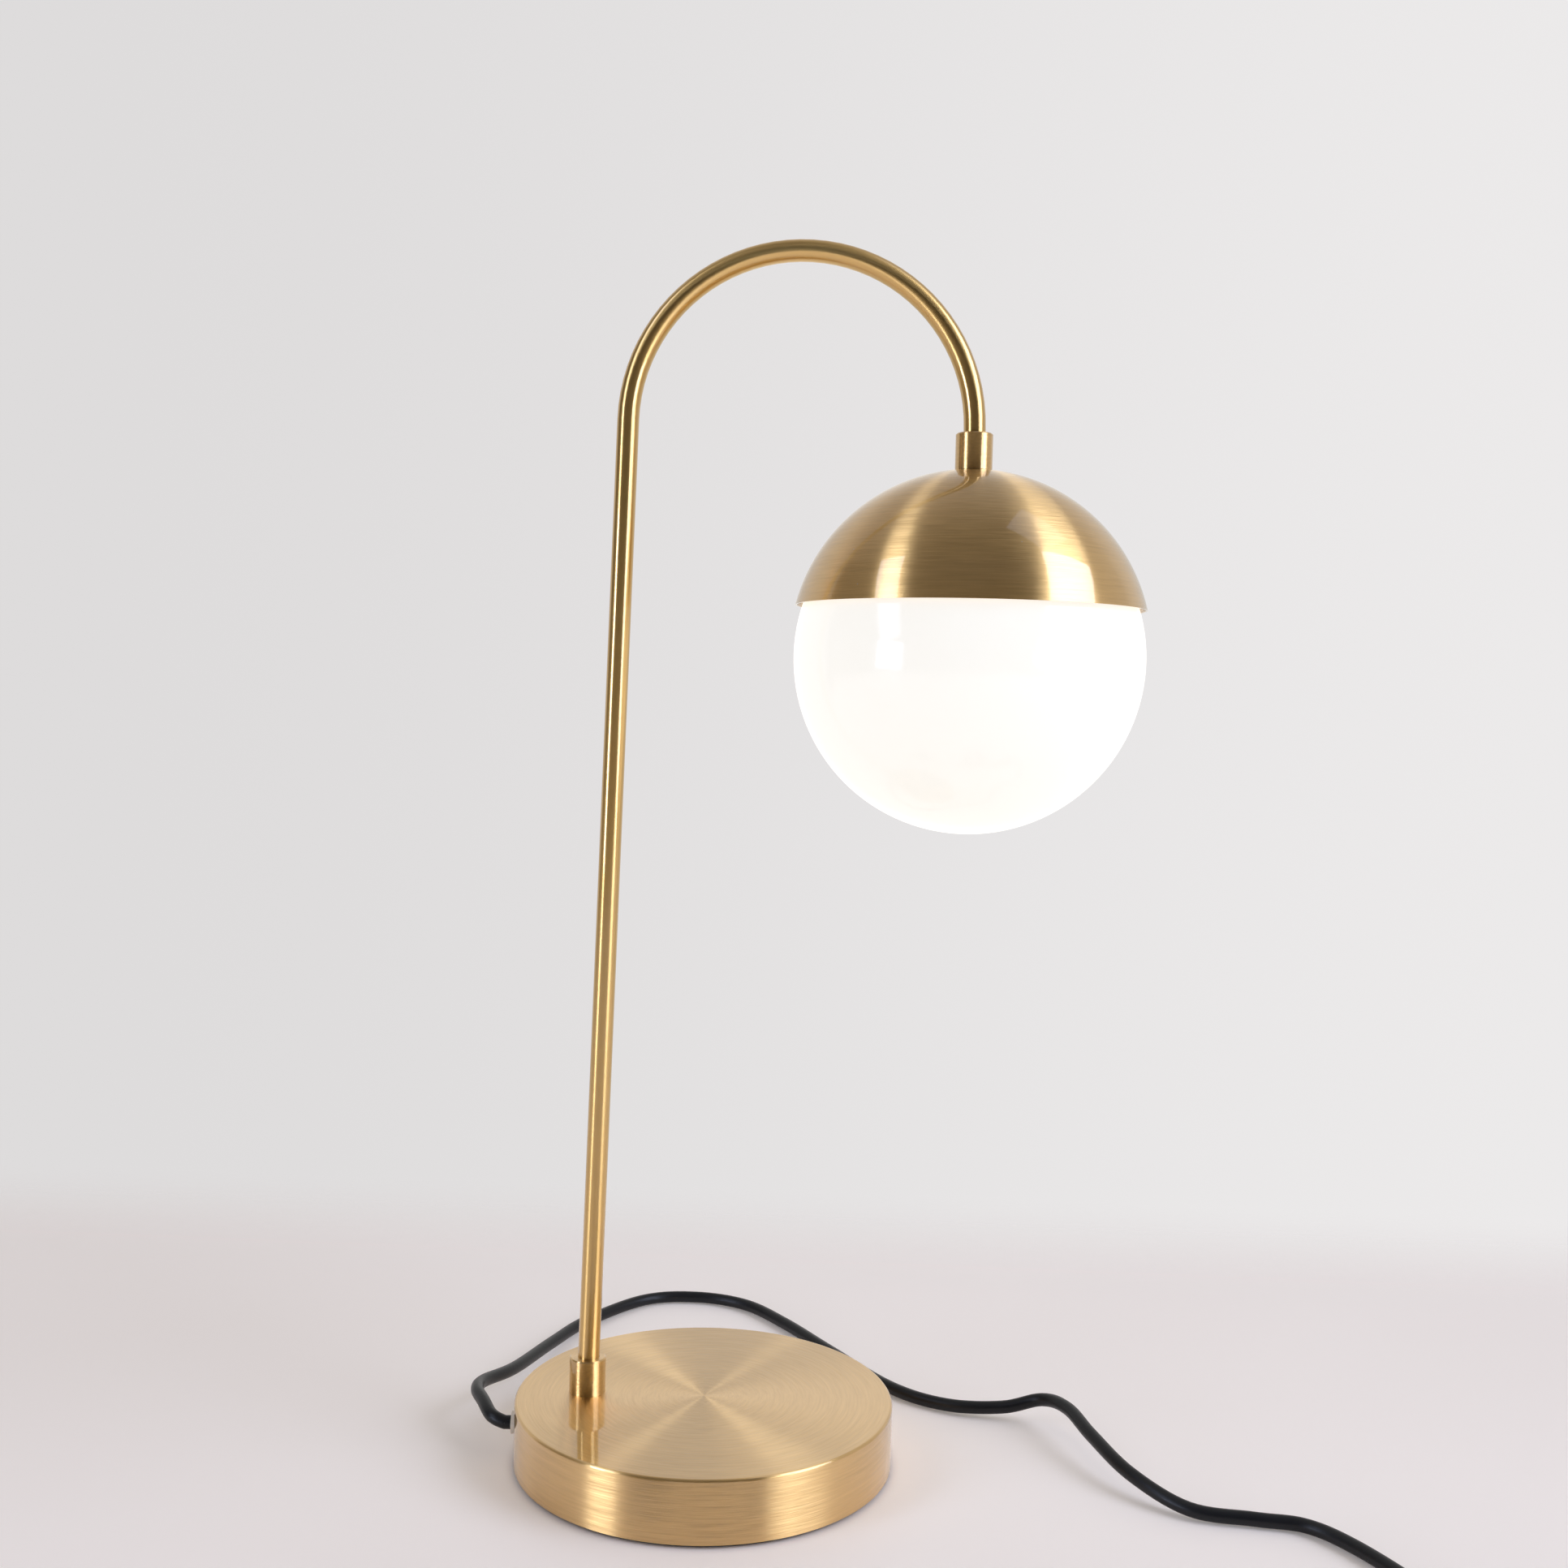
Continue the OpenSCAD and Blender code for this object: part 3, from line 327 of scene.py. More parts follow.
def start_group(name, inputs, outputs):
    """An empty node group. Its inputs are numbers with defaults, and so are its outputs but Normal."""
    group = bpy.data.node_groups.new(name, "ShaderNodeTree")
    for label, default in inputs.items():
        socket = group.interface.new_socket(label, in_out="INPUT", socket_type="NodeSocketFloat")
        socket.default_value = default
    for label in outputs:
        kind = "NodeSocketVector" if label == "Normal" else "NodeSocketFloat"
        group.interface.new_socket(label, in_out="OUTPUT", socket_type=kind)
    inside = group.nodes.new("NodeGroupInput")
    outside = group.nodes.new("NodeGroupOutput")
    return group, inside.outputs, outside.inputs


def use_group(tree, group, **values):
    """Places a group in a material. An underscore in a value's name stands for a space."""
    node = add_node(tree, "ShaderNodeGroup", node_tree=group)
    for name, value in values.items():
        give(tree, value, node.inputs[name.replace("_", " ")])
    return node.outputs


def start_material(name):
    """A material with one Principled shader. Returns the material, its tree and that shader."""
    material = bpy.data.materials.new(name)
    material.use_nodes = True
    tree = material.node_tree
    return material, tree, tree.nodes["Principled BSDF"]


def give_shader(tree, shader, values):
    for name, value in values.items():
        give(tree, value, shader.inputs[name])


def relief(tree, height, distance, strength=1.0):
    """A bump from a height that runs from 0 to 1, so deep in metres."""
    settings = {"Height": height, "Distance": distance, "Strength": strength}
    return add_node(tree, "ShaderNodeBump", settings).outputs[0]


# %% [markdown]
# Spun and turned metal is brushed while it goes round, so its fine scratches are circles about its axis.
# They are made by reading noise in round coordinates: very fine across the scratches, by radius and
# height, and very coarse along them. The angle goes in as its sine and cosine, because a plain angle
# would leave a seam. The scratches are finer than a pixel, where a bump would fade with distance, so each
# one tilts the normal itself, across the scratch. Many of them together spread a light into a streak with
# sharp sides. Shade is the same pattern with lines four times as broad, so the brushing still shows from
# afar.

# %% Group: turning marks
SHADE_SHARE = 0.25


def make_turning_marks():
    group, given, result = start_group(
        "turning_marks", {"Axis X": 0.0, "Rings": 4000.0, "Arc": 4.0, "Tilt": 0.9},
        ["Height", "Shade", "Normal"],
    )
    place = add_node(group, "ShaderNodeTexCoord").outputs["Object"]
    axis = add_node(group, "ShaderNodeCombineXYZ", {"X": given["Axis X"]}).outputs[0]
    away = work_vector(group, "SUBTRACT", {0: place, 1: axis})
    part = add_node(group, "ShaderNodeSeparateXYZ", {0: away}).outputs
    flat = add_node(group, "ShaderNodeCombineXYZ", {"X": part["X"], "Y": part["Y"]}).outputs[0]
    radius = work_vector(group, "LENGTH", {0: flat}, "Value")
    facing = work_vector(group, "NORMALIZE", {0: flat})
    turn = add_node(group, "ShaderNodeSeparateXYZ", {0: facing}).outputs
    around_x = work_out(group, "MULTIPLY", turn["X"], given["Arc"])
    around_y = work_out(group, "MULTIPLY", turn["Y"], given["Arc"])
    for output, share in (("Height", 1.0), ("Shade", SHADE_SHARE)):
        rings = work_out(group, "MULTIPLY", given["Rings"], share)
        across = work_out(group, "MULTIPLY", radius, rings)
        up = work_out(group, "MULTIPLY", part["Z"], rings)
        spot = add_node(group, "ShaderNodeCombineXYZ", {"X": across, "Y": around_x, "Z": around_y}).outputs[0]
        noise = add_node(
            group, "ShaderNodeTexNoise", {"Vector": spot, "W": up, "Scale": 1.0, "Detail": 3.0},
            noise_dimensions="4D",
        )
        give(group, noise.outputs[0], result[output])
        if output == "Height":
            height = noise.outputs[0]
    facing_out = add_node(group, "ShaderNodeNewGeometry").outputs["Normal"]
    backwards = work_out(group, "MULTIPLY", turn["Y"], -1.0)
    along = add_node(group, "ShaderNodeCombineXYZ", {"X": backwards, "Y": turn["X"]}).outputs[0]
    over = work_vector(group, "CROSS_PRODUCT", {0: facing_out, 1: along})
    tilt = work_out(group, "MULTIPLY", work_out(group, "SUBTRACT", height, 0.5), given["Tilt"])
    step = work_vector(group, "SCALE", {0: over, "Scale": tilt})
    tilted = work_vector(group, "ADD", {0: facing_out, 1: step})
    normal = work_vector(group, "NORMALIZE", {0: tilted})
    give(group, normal, result["Normal"])
    return group


turning_marks = make_turning_marks()
print("group made:", turning_marks.name)

# %% [markdown]
# Dust and tiny nicks keep a clean surface from looking computed. Cells of a Voronoi pattern give
# scattered points. Only a small share of the cells shows one, and each is a fraction of a millimetre.

# %% Group: specks


def make_specks():
    group, given, result = start_group("specks", {"Per Metre": 90.0, "Size": 0.02, "Share": 0.3}, ["Mask"])
    place = add_node(group, "ShaderNodeTexCoord").outputs["Object"]
    cells = add_node(group, "ShaderNodeTexVoronoi", {"Vector": place, "Scale": given["Per Metre"]})
    near = work_out(group, "LESS_THAN", cells.outputs["Distance"], given["Size"])
    chance = add_node(group, "ShaderNodeSeparateColor", {0: cells.outputs["Color"]}).outputs[0]
    picked = work_out(group, "LESS_THAN", chance, given["Share"])
    give(group, work_out(group, "MULTIPLY", near, picked), result["Mask"])
    return group


specks = make_specks()
print("group made:", specks.name)

# %% [markdown]
# Moulded plastic, rubber, glaze and cast iron all have an even grain without a direction. One group
# serves them all: a fine noise for the grain's height, and a broad one for the slow change of shade over
# a surface.

# %% Group: moulded grain
BROAD_SHARE = 0.03


def make_moulded_grain():
    group, given, result = start_group(
        "moulded_grain", {"Per Metre": 1500.0, "Roughness": 0.6}, ["Height", "Shade"],
    )
    place = add_node(group, "ShaderNodeTexCoord").outputs["Object"]
    fine = add_node(
        group, "ShaderNodeTexNoise",
        {"Vector": place, "Scale": given["Per Metre"], "Detail": 3.0, "Roughness": given["Roughness"]},
    )
    broad_scale = work_out(group, "MULTIPLY", given["Per Metre"], BROAD_SHARE)
    broad = add_node(group, "ShaderNodeTexNoise", {"Vector": place, "Scale": broad_scale, "Detail": 2.0})
    give(group, fine.outputs[0], result["Height"])
    give(group, broad.outputs[0], result["Shade"])
    return group


moulded_grain = make_moulded_grain()
print("group made:", moulded_grain.name)

# %% [markdown]
# The lamp's brass has two looks at once. Its metal is brushed, which spreads a light into a long streak
# across the scratches, and over it lies clear lacquer, which mirrors the collar sharply in the base. In
# the shader the first is the anisotropic metal layer, with its tangent running round the axis and the
# spread turned by a quarter, and the second is the coat. Only the metal takes the tilted normals, so the
# lacquer stays smooth.

# %% Turned brass
BRASS = (0.97, 0.64, 0.26, 1)
BRASS_DEEP = (0.68, 0.42, 0.15, 1)
DUST = (0.62, 0.58, 0.52, 1)
DUST_COVER = 0.7


def turned_brass(name, axis_x):
    """Brass brushed round an upright axis, under lacquer."""
    material, tree, shader = start_material(name)
    marks = use_group(tree, turning_marks, Axis_X=axis_x)
    dust = use_group(tree, specks)["Mask"]
    metal = mix_colours(tree, marks["Shade"], BRASS_DEEP, BRASS)
    give_shader(tree, shader, {
        "Base Color": mix_colours(tree, dust, metal, DUST),
        "Metallic": work_out(tree, "SUBTRACT", 1.0, work_out(tree, "MULTIPLY", dust, DUST_COVER)),
        "Roughness": spread(tree, marks["Shade"], 0.30, 0.35),
        "Anisotropic": 1.0,
        "Anisotropic Rotation": 0.25,
        "Tangent": add_node(tree, "ShaderNodeTangent", direction_type="RADIAL", axis="Z").outputs[0],
        "Coat Weight": work_out(tree, "SUBTRACT", 1.0, dust),
        "Coat Roughness": 0.04,
        "Coat IOR": 1.65,
        "Normal": marks["Normal"],
    })
    return material


FOOT_X = -0.052
HEAD_X = 0.106839
brass_base = turned_brass("brass_base", 0.0)
brass_foot = turned_brass("brass_foot", FOOT_X)
brass_head = turned_brass("brass_head", HEAD_X)
print("brass materials:", brass_base.name, brass_foot.name, brass_head.name)

# %% [markdown]
# The stem was polished round and round before it was bent, so its streaks run along it, up the straight
# and round the arch. The direction along a bent tube is not an axis of the model. It is worked out from
# the place on the arch: above the bend's middle it is square to the line from that middle, and below it,
# it is upright. On so thin a tube no single scratch shows, and a slight change of gloss along it is
# enough.

# %% Tube brass
BEND_MIDDLE = (0.032439, 0.0, 0.452729)
TUBE_BRASS = (0.78, 0.50, 0.17, 1)
TUBE_BRASS_DEEP = (0.70, 0.445, 0.15, 1)
GRAIN_PER_TURN = 60.0
GRAIN_DOWN = 900.0
GRAIN_ACROSS = 60.0


def tube_direction(tree):
    """The direction along the stem, and the place on it measured from the middle of its bend."""
    place = add_node(tree, "ShaderNodeTexCoord").outputs["Object"]
    away = work_vector(tree, "SUBTRACT", {0: place, 1: BEND_MIDDLE})
    part = add_node(tree, "ShaderNodeSeparateXYZ", {0: away}).outputs
    above = work_out(tree, "MAXIMUM", part["Z"], 0.0)
    down = work_out(tree, "MULTIPLY", part["X"], -1.0)
    along = add_node(tree, "ShaderNodeCombineXYZ", {"X": above, "Z": down}).outputs[0]
    return work_vector(tree, "NORMALIZE", {0: along}), part, above


def tube_brass():
    material, tree, shader = start_material("brass_tube")
    along, part, above = tube_direction(tree)
    flat = add_node(tree, "ShaderNodeCombineXYZ", {"X": part["X"], "Z": above}).outputs[0]
    radius = work_vector(tree, "LENGTH", {0: flat}, "Value")
    turn = work_out(tree, "ARCTAN2", above, part["X"])
    spot = add_node(tree, "ShaderNodeCombineXYZ", {
        "X": work_out(tree, "MULTIPLY", turn, GRAIN_PER_TURN),
        "Y": work_out(tree, "MULTIPLY", work_out(tree, "MINIMUM", part["Z"], 0.0), GRAIN_DOWN),
        "Z": work_out(tree, "MULTIPLY", radius, GRAIN_ACROSS),
    }).outputs[0]
    noise = add_node(tree, "ShaderNodeTexNoise", {"Vector": spot, "Scale": 1.0, "Detail": 3.0}).outputs[0]
    grain = use_group(tree, moulded_grain, Per_Metre=2500.0)
    dust = use_group(tree, specks, Per_Metre=70.0)["Mask"]
    metal = mix_colours(tree, grain["Shade"], TUBE_BRASS_DEEP, TUBE_BRASS)
    give_shader(tree, shader, {
        "Base Color": mix_colours(tree, dust, metal, DUST),
        "Metallic": work_out(tree, "SUBTRACT", 1.0, work_out(tree, "MULTIPLY", dust, DUST_COVER)),
        "Roughness": spread(tree, noise, 0.28, 0.31),
        "Anisotropic": 0.9,
        "Tangent": along,
        "Coat Weight": work_out(tree, "SUBTRACT", 1.0, dust),
        "Coat Roughness": 0.04,
        "Coat IOR": 1.5,
    })
    return material


brass_stem = tube_brass()
print("stem material:", brass_stem.name)

# %% [markdown]
# Screws, nuts, nipples and washers are plated steel, cut on a lathe. They take the same turning marks as
# the brass, somewhat broader and shallower, and have no lacquer.

# %% Plated steel
STEEL = (0.60, 0.61, 0.62, 1)
STEEL_DEEP = (0.45, 0.46, 0.47, 1)


def plated_steel(name, axis_x, light, deep, roughness):
    material, tree, shader = start_material(name)
    marks = use_group(tree, turning_marks, Axis_X=axis_x, Rings=2500.0, Arc=6.0, Tilt=0.3)
    grain = use_group(tree, moulded_grain, Per_Metre=900.0)
    give_shader(tree, shader, {
        "Base Color": mix_colours(tree, grain["Shade"], deep, light),
        "Metallic": 1.0,
        "Roughness": spread(tree, marks["Height"], roughness - 0.06, roughness + 0.08),
        "Normal": marks["Normal"],
    })
    return material


steel_base = plated_steel("steel_base", FOOT_X, STEEL, STEEL_DEEP, 0.34)
steel_head = plated_steel("steel_head", HEAD_X, STEEL, STEEL_DEEP, 0.34)
plug_metal = plated_steel("plug_metal", 0.0, (0.72, 0.70, 0.66, 1), (0.60, 0.58, 0.54, 1), 0.22)
contact_metal = plated_steel("contact_metal", 0.0, (0.78, 0.52, 0.30, 1), (0.62, 0.38, 0.20, 1), 0.32)
brass_plain = plated_steel("brass_plain", 0.0, BRASS, BRASS_DEEP, 0.28)
print("lathe-cut metals:", 5)

# %% [markdown]
# The weight in the base is a disc of cast iron under thin grey paint. Casting sand leaves a coarse skin.

# %% Cast iron


def cast_iron():
    material, tree, shader = start_material("iron")
    grain = use_group(tree, moulded_grain, Per_Metre=700.0, Roughness=0.7)
    rust = step_up(tree, grain["Shade"], 0.55, 0.75)
    give_shader(tree, shader, {
        "Base Color": mix_colours(tree, rust, (0.055, 0.056, 0.06, 1), (0.13, 0.065, 0.035, 1)),
        "Metallic": spread(tree, rust, 0.7, 0.1),
        "Roughness": spread(tree, grain["Height"], 0.5, 0.8),
        "Normal": relief(tree, grain["Height"], 0.0003),
    })
    return material


iron = cast_iron()
print("weight material:", iron.name)

# %% [markdown]
# Plastics, rubber, nylon and glaze differ in colour, gloss and grain, and in little else. One recipe
# makes them all, with dust on top where a hand or a table leaves some. The PVC of the cord mirrors less
# than the others.

# %% Moulded materials


def moulded(name, light, deep, gloss, grain_size, depth, dust_share=0.25):
    """A moulded or glazed piece. gloss is its least and most roughness, depth its grain in metres."""
    material, tree, shader = start_material(name)
    grain = use_group(tree, moulded_grain, Per_Metre=grain_size)
    dust = use_group(tree, specks, Per_Metre=160.0, Size=0.03, Share=dust_share)["Mask"]
    body = mix_colours(tree, grain["Shade"], deep, light)
    give_shader(tree, shader, {
        "Base Color": mix_colours(tree, dust, body, DUST),
        "Roughness": spread(tree, grain["Height"], gloss[0], gloss[1]),
        "Normal": relief(tree, grain["Height"], depth),
    })
    return material, tree, shader


cord_black, cord_tree, cord_shader = moulded(
    "cord_black", (0.013, 0.013, 0.014, 1), (0.007, 0.007, 0.008, 1), (0.28, 0.42), 900.0, 0.00005,
)
give_shader(cord_tree, cord_shader, {"Specular IOR Level": 0.28})
pad_black = moulded(
    "pad_black", (0.018, 0.018, 0.018, 1), (0.01, 0.01, 0.01, 1), (0.85, 1.0), 2200.0, 0.0003,
)[0]
switch_black = moulded(
    "switch_black", (0.016, 0.016, 0.017, 1), (0.011, 0.011, 0.012, 1), (0.38, 0.5), 2600.0, 0.00004,
)[0]
rocker_grey = moulded(
    "rocker_grey", (0.20, 0.20, 0.21, 1), (0.16, 0.16, 0.17, 1), (0.25, 0.35), 2600.0, 0.00002,
)[0]
nylon_white = moulded(
    "nylon_white", (0.80, 0.79, 0.75, 1), (0.74, 0.72, 0.68, 1), (0.35, 0.5), 1800.0, 0.00003,
)[0]
holder_ceramic = moulded(
    "holder_ceramic", (0.84, 0.82, 0.77, 1), (0.78, 0.76, 0.70, 1), (0.12, 0.3), 500.0, 0.00004,
)[0]
bulb_ceramic = moulded(
    "bulb_ceramic", (0.86, 0.86, 0.84, 1), (0.80, 0.80, 0.78, 1), (0.2, 0.35), 700.0, 0.00003,
)[0]
print("moulded materials:", 7)

# %% [markdown]
# The bushing where the cord leaves is cream nylon and the seal in the cap is milky silicone. Both let a
# little light in, which plain subsurface scattering shows.

# %% Soft light-passing plastics


def milky(name, light, deep, gloss, weight):
    material, tree, shader = moulded(name, light, deep, gloss, 1500.0, 0.00003, 0.1)
    give_shader(tree, shader, {
        "Subsurface Weight": weight,
        "Subsurface Radius": (0.002, 0.0015, 0.001),
        "Subsurface Scale": 1.0,
    })
    return material


bushing_cream = milky("bushing_cream", (0.78, 0.74, 0.66, 1), (0.70, 0.65, 0.56, 1), (0.3, 0.42), 0.2)
seal_silicone = milky("seal_silicone", (0.72, 0.72, 0.70, 1), (0.66, 0.66, 0.64, 1), (0.4, 0.5), 0.4)
print("milky materials:", 2)

# %% [markdown]
# The two wires of each pair lie side by side, brown on one side of the lamp's middle plane and blue on
# the other, and so they can share one material that looks at the side it is on.

# %% Wires


def wire_sheath(name, middle_y):
    material, tree, shader = start_material(name)
    place = add_node(tree, "ShaderNodeTexCoord").outputs["Object"]
    side = add_node(tree, "ShaderNodeSeparateXYZ", {0: place}).outputs["Y"]
    brown = work_out(tree, "GREATER_THAN", side, middle_y)
    grain = use_group(tree, moulded_grain, Per_Metre=1200.0)
    colour = mix_colours(tree, brown, (0.02, 0.08, 0.32, 1), (0.14, 0.05, 0.02, 1))
    worn = mix_colours(tree, work_out(tree, "MULTIPLY", grain["Shade"], 0.3), colour, DUST)
    give_shader(tree, shader, {
        "Base Color": worn,
        "Roughness": spread(tree, grain["Height"], 0.35, 0.5),
        "Normal": relief(tree, grain["Height"], 0.00003),
    })
    return material


wires = wire_sheath("wire_sheath", 0.0)
switch_wires = wire_sheath("switch_wire_sheath", -0.155)
print("wire materials:", wires.name, switch_wires.name)

# %% [markdown]
# The opal globe is lit. Its glass spreads the bulb's light so well that the whole ball glows evenly, only
# a trace warmer and dimmer away from the bulb. Tracing light through real scattering glass would be slow
# and noisy, so the glow is emission, and one group works out how it falls off from the bulb's middle.

# %% Group: glow


def make_glow():
    group, given, result = start_group("glow", {"Bulb Z": 0.378, "Near": 0.02, "Far": 0.10}, ["Glow"])
    place = add_node(group, "ShaderNodeTexCoord").outputs["Object"]
    bulb = add_node(group, "ShaderNodeCombineXYZ", {"X": HEAD_X, "Z": given["Bulb Z"]}).outputs[0]
    far = work_vector(group, "DISTANCE", {0: place, 1: bulb}, "Value")
    settings = {"Value": far, "From Min": given["Far"], "From Max": given["Near"]}
    falloff = add_node(group, "ShaderNodeMapRange", settings, interpolation_type="SMOOTHSTEP").outputs[0]
    give(group, falloff, result["Glow"])
    return group


glow = make_glow()
print("group made:", glow.name)

# %% [markdown]
# The globe, the bulb's frosted cover and the strip inside it all glow, each with two colours and a
# strength of its own. Some of the room's light falls on them too, so they have a plain colour and a gloss
# as well.

# %% Lit materials


def lit(name, dim, bright, strength, roughness, far=0.10):
    """A glowing piece: its emission runs from the dim colour to the bright one near the bulb."""
    material, tree, shader = start_material(name)
    near_bulb = use_group(tree, glow, Far=far)["Glow"]
    grain = use_group(tree, moulded_grain, Per_Metre=60.0)
    give_shader(tree, shader, {
        "Base Color": mix_colours(tree, grain["Shade"], (0.36, 0.355, 0.34, 1), (0.40, 0.395, 0.38, 1)),
        "Emission Color": mix_colours(tree, near_bulb, dim, bright),
        "Emission Strength": strength,
        "Roughness": spread(tree, grain["Height"], roughness, roughness + 0.06),
        "Normal": relief(tree, grain["Height"], 0.00005, 0.3),
    })
    return material


opal_glass = lit("opal_glass", (1.0, 0.96, 0.87, 1), (1.0, 0.98, 0.92, 1), 0.75, 0.08)
bulb_frosted = lit("bulb_frosted", (1.0, 0.86, 0.66, 1), (1.0, 0.94, 0.82, 1), 3.0, 0.35, 0.03)
bulb_light = lit("bulb_light", (1.0, 0.70, 0.35, 1), (1.0, 0.85, 0.60, 1), 6.0, 0.4, 0.03)
print("lit materials:", opal_glass.name, bulb_frosted.name, bulb_light.name)

# %% [markdown]
# Each CAD node keeps its mesh and only gets its finish, in every slot it has.

# %% Finishes on the CAD nodes
FINISHES = [
    (brass_base, ["base_shell"]),
    (brass_foot, ["lower_collar"]),
    (brass_head, ["upper_collar", "shade", "globe_cap"]),
    (brass_stem, ["stem_tube"]),
    (brass_plain, ["terminal_sleeves"]),
    (steel_base, [
        "stem_plate", "weight_studs", "weight_screws", "clamp_screws", "terminal_screws", "base_nipple",
        "base_washer", "nipple_nuts", "switch_screws",
    ]),
    (steel_head, ["head_nipple", "shade_spacer", "bulb_pins"]),
    (iron, ["base_weight"]),
    (pad_black, ["base_pad"]),
    (bushing_cream, ["cord_bushing"]),
    (cord_black, ["cord_inner", "plug_body", "pin_sleeves"]),
    (nylon_white, ["cord_clamp", "terminal_block"]),
    (contact_metal, ["holder_contacts", "switch_contacts"]),
    (wires, ["supply_cores", "lamp_wires"]),
    (switch_wires, ["switch_cores"]),
    (seal_silicone, ["globe_seal"]),
    (opal_glass, ["globe", "globe_neck"]),
    (holder_ceramic, ["lamp_holder"]),
    (bulb_ceramic, ["bulb_base"]),
    (bulb_light, ["bulb_strip"]),
    (bulb_frosted, ["bulb_cover"]),
    (switch_black, ["switch_base", "switch_cover"]),
    (rocker_grey, ["switch_rocker"]),
    (plug_metal, ["plug_pins"]),
]


def put_finish(piece, finish):
    """A piece from the CAD model has slots already, and a piece made here gets its first."""
    if not piece.material_slots:
        piece.data.materials.append(finish)
    for slot in piece.material_slots:
        slot.material = finish


for finish, names in FINISHES:
    for name in names:
        put_finish(cad_nodes[name], finish)
for piece in (base_cord, plug_cord, coil_tie):
    put_finish(piece, cord_black)
finished = [name for _, names in FINISHES for name in names]
print("CAD nodes with a finish:", len(finished), "left:", sorted(set(cad_nodes) - set(finished)))

# %% [markdown]
# The floor is a plain sheet of white paper. It fades out behind the lamp and far from it, so no hard
# horizon shows from any side. To the camera, and in mirrors and glass, it glows a little, which makes it
# light without stronger lamps on the brass. The glow stops short of the base, which leaves a painted
# shadow on the floor under the base's edge, where the thin line of the pad has to stay dark.

# %% Floor
FLOOR_Z = -0.0003
FLOOR_REACH = 3.0
FADE_FROM = 0.24
FADE_TO = 0.42
EDGE_FROM = 0.5 * FLOOR_REACH
EDGE_TO = 0.9 * FLOOR_REACH
PAPER = (0.95, 0.855, 0.775, 1)
PAPER_DEEP = (0.93, 0.835, 0.755, 1)
GLOW_WHITE = (1.0, 0.94, 0.92, 1)
GLOW_STRENGTH = 0.145
GLOW_FROM = 0.080
GLOW_RISE = 0.008


def paper():
    material, tree, shader = start_material("paper")
    place = add_node(tree, "ShaderNodeTexCoord").outputs["Object"]
    part = add_node(tree, "ShaderNodeSeparateXYZ", {0: place}).outputs
    far = work_vector(tree, "LENGTH", {0: place}, "Value")
    behind = step_up(tree, part["Y"], FADE_FROM, FADE_TO)
    around = step_up(tree, far, EDGE_FROM, EDGE_TO)
    gone = work_out(tree, "MAXIMUM", behind, around)
    grain = use_group(tree, moulded_grain, Per_Metre=120.0)
    path = add_node(tree, "ShaderNodeLightPath").outputs
    seen = work_out(tree, "MAXIMUM", path["Is Camera Ray"], path["Is Glossy Ray"])
    seen = work_out(tree, "MAXIMUM", seen, path["Is Transmission Ray"])
    # No glow within GLOW_FROM of the base's middle: a painted shadow on the floor under the base's edge.
    lifted = work_out(tree, "MULTIPLY", seen, step_up(tree, far, GLOW_FROM, GLOW_FROM + GLOW_RISE))
    give_shader(tree, shader, {
        "Base Color": mix_colours(tree, grain["Shade"], PAPER_DEEP, PAPER),
        "Emission Color": GLOW_WHITE,
        "Emission Strength": work_out(tree, "MULTIPLY", lifted, GLOW_STRENGTH),
        "Roughness": 0.6,
        "Specular IOR Level": 0.2,
        "Alpha": work_out(tree, "SUBTRACT", 1.0, gone),
        "Normal": relief(tree, grain["Height"], 0.0002, 0.4),
    })
    return material


def make_floor():
    data = bpy.data.meshes.new("floor")
    corners = [(x * FLOOR_REACH, y * FLOOR_REACH, FLOOR_Z) for x, y in ((-1, -1), (1, -1), (1, 1), (-1, 1))]
    data.from_pydata(corners, [], [(0, 1, 2, 3)])
    data.materials.append(paper())
    floor = bpy.data.objects.new("floor", data)
    bpy.context.scene.collection.objects.link(floor)


make_floor()
print("floor reach:", FLOOR_REACH, "m")

# %% [markdown]
# Polished metal shows its room. This one is white behind the lamp, brightest in the middle, and it ends
# at both sides with a clear edge, which shows as the line near both sides of the dome. In front it is
# dark, which makes the brown middle of the dome, and overhead it grows lighter from the front to the
# back. What the camera sees directly is the wall behind, a little lighter towards the right.

# %% Room
ROOM_BACK = (0.88, 0.865, 0.84, 1)
ROOM_BACK_LEFT = (0.58, 0.565, 0.545, 1)
ROOM_BACK_RIGHT = (0.64, 0.625, 0.60, 1)
ROOM_LEFT = (0.15, 0.14, 0.13, 1)
ROOM_RIGHT = (0.56, 0.54, 0.51, 1)
ROOM_OVERHEAD = (0.18, 0.17, 0.16, 1)
ROOM_OVERHEAD_BACK = (0.50, 0.485, 0.465, 1)
ROOM_DARK = (0.036, 0.034, 0.031, 1)
SIDE_REACH = 0.7
DARK_SLANT = -0.27
DARK_RANGE = (-0.95, -0.1)
EDGE_SLANT = -0.131
EDGE_PLACE = 0.435
EDGE_SOFT = 0.03
BACK_REACH = 0.4
OVERHEAD_RANGE = (0.45, 0.85)
OVERHEAD_TO_BACK = (-0.45, 0.5)
WALL_REACH = 0.45
WALL_LEFT = (0.73, 0.715, 0.715, 1)
WALL_RIGHT = (0.84, 0.825, 0.825, 1)


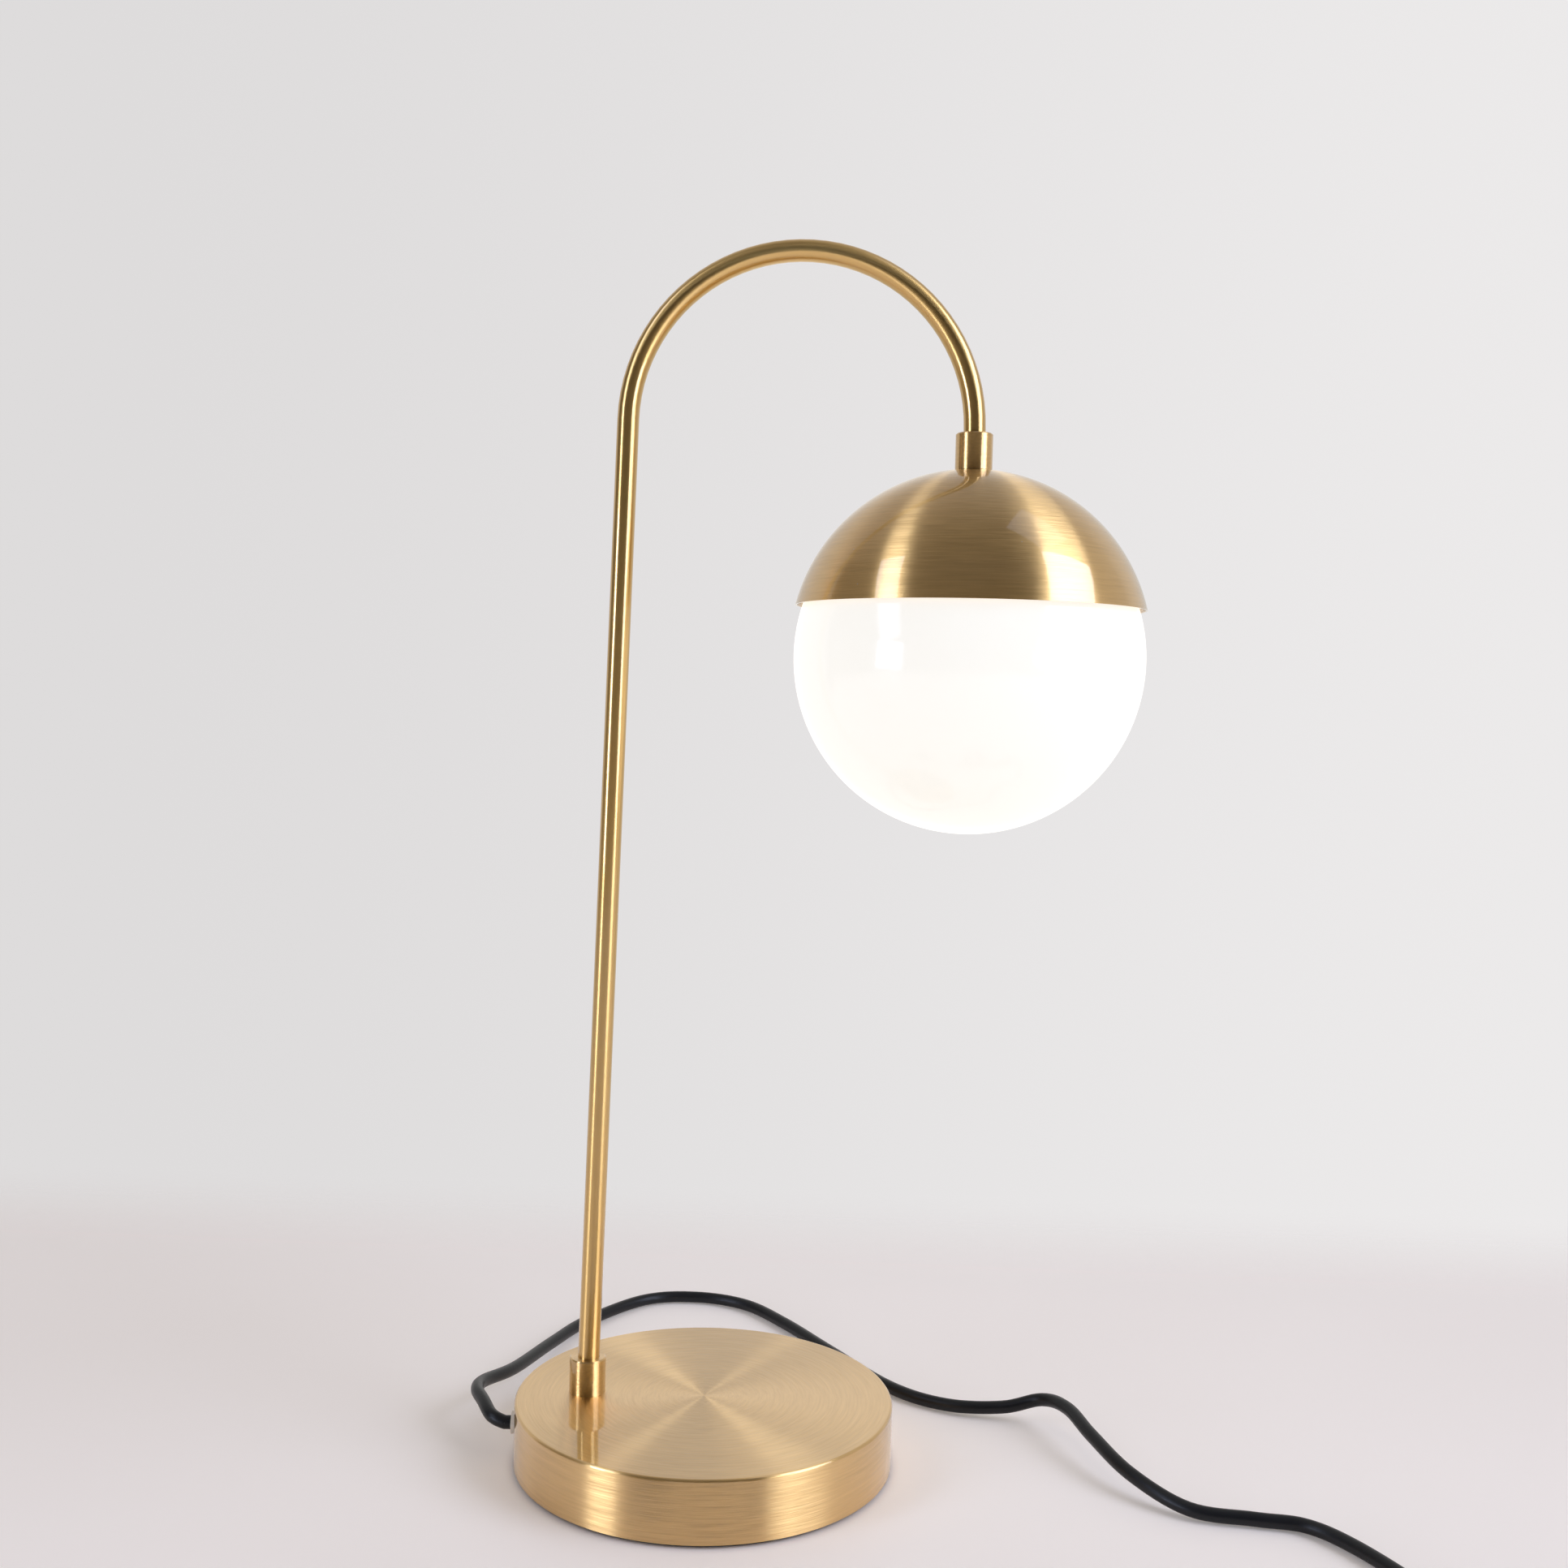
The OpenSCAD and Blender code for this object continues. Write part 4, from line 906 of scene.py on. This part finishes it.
def make_room():
    world = bpy.data.worlds.new("studio")
    bpy.context.scene.world = world
    world.use_nodes = True
    tree = world.node_tree
    towards = add_node(tree, "ShaderNodeTexCoord").outputs["Generated"]
    part = add_node(tree, "ShaderNodeSeparateXYZ", {0: towards}).outputs
    front = work_out(tree, "ADD", part["Y"], work_out(tree, "MULTIPLY", part["X"], DARK_SLANT))
    sides = mix_colours(tree, step_up(tree, part["X"], -SIDE_REACH, SIDE_REACH), ROOM_LEFT, ROOM_RIGHT)
    side = mix_colours(tree, step_up(tree, front, *DARK_RANGE), ROOM_DARK, sides)
    slanted = work_out(tree, "ADD", part["Y"], work_out(tree, "MULTIPLY", part["X"], EDGE_SLANT))
    back = step_up(tree, slanted, EDGE_PLACE - EDGE_SOFT, EDGE_PLACE + EDGE_SOFT)
    back_left = mix_colours(tree, step_up(tree, part["X"], -BACK_REACH, 0.0), ROOM_BACK_LEFT, ROOM_BACK)
    whole_back = mix_colours(tree, step_up(tree, part["X"], 0.0, BACK_REACH), back_left, ROOM_BACK_RIGHT)
    room = mix_colours(tree, back, side, whole_back)
    overhead = step_up(tree, part["Z"], *OVERHEAD_RANGE)
    above = mix_colours(tree, step_up(tree, part["Y"], *OVERHEAD_TO_BACK), ROOM_OVERHEAD, ROOM_OVERHEAD_BACK)
    room = mix_colours(tree, overhead, room, above)
    wall = mix_colours(tree, step_up(tree, part["X"], -WALL_REACH, WALL_REACH), WALL_LEFT, WALL_RIGHT)
    seen = add_node(tree, "ShaderNodeLightPath").outputs["Is Camera Ray"]
    give(tree, mix_colours(tree, seen, room, wall), tree.nodes["Background"].inputs["Color"])
    return world


room = make_room()
print("room made:", room.name)

# %% [markdown]
# Five soft boxes, two on the left and three on the right, give the two streaks on the dome and the bright
# bands on the base. The strong ones stand low, and the dimmer ones above them lean outwards, because each
# streak fades and bends on its way up. A light in a photograph can be found from its reflection: where it
# shows on the round dome tells the way it lies, half an angle at a time.

# %% Soft boxes
LIT_POINT = Vector((0.06, 0.0, 0.25))
BOX_COLOUR = (0.92, 1.03, 1.34)


def towards_light(azimuth, elevation, distance):
    """A point so far from the lamp. Azimuth 0 is in front of it, and 90 is to its right."""
    across = math.radians(azimuth)
    up = math.radians(elevation)
    out = Vector((math.sin(across) * math.cos(up), -math.cos(across) * math.cos(up), math.sin(up)))
    return LIT_POINT + distance * out


def make_soft_box(name, low_end, high_end, width, radiance):
    """A rectangular light from one point to another that faces the lamp, set by how bright it looks."""
    middle = (low_end + high_end) / 2
    length = high_end - low_end
    back = (middle - LIT_POINT).normalized()
    across = length.cross(back).normalized()
    up = back.cross(across)
    data = bpy.data.lights.new(name, "AREA")
    data.shape = "RECTANGLE"
    data.size = width
    data.size_y = length.dot(up)
    data.color = BOX_COLOUR
    data.energy = math.pi * data.size * data.size_y * radiance
    box = bpy.data.objects.new(name, data)
    box.matrix_world = Matrix.Translation(middle) @ Matrix((across, up, back)).transposed().to_4x4()
    bpy.context.scene.collection.objects.link(box)


# Lower and upper end as azimuth, elevation and distance, then width and brightness.
SOFT_BOXES = [
    ("soft_box_right_low", (51, -4.5, 3.0), (56, 8, 3.0), 1.36, 5.2),
    ("soft_box_right", (59, 10, 3.0), (85, 46, 3.2), 1.5, 3.5),
    ("soft_box_right_high", (87, 52, 3.2), (98, 72, 3.4), 1.2, 0.6),
    ("soft_box_left_low", (-54, -4.5, 3.0), (-53, 10, 3.0), 0.88, 7.4),
    ("soft_box_left_high", (-53, 12, 3.0), (-74, 50, 3.0), 0.70, 2.5),
]
for name, low_end, high_end, width, radiance in SOFT_BOXES:
    make_soft_box(name, towards_light(*low_end), towards_light(*high_end), width, radiance)
bpy.context.scene.view_settings.view_transform = "Standard"
print("soft boxes:", len(SOFT_BOXES))

# %% [markdown] End

print("scene built")
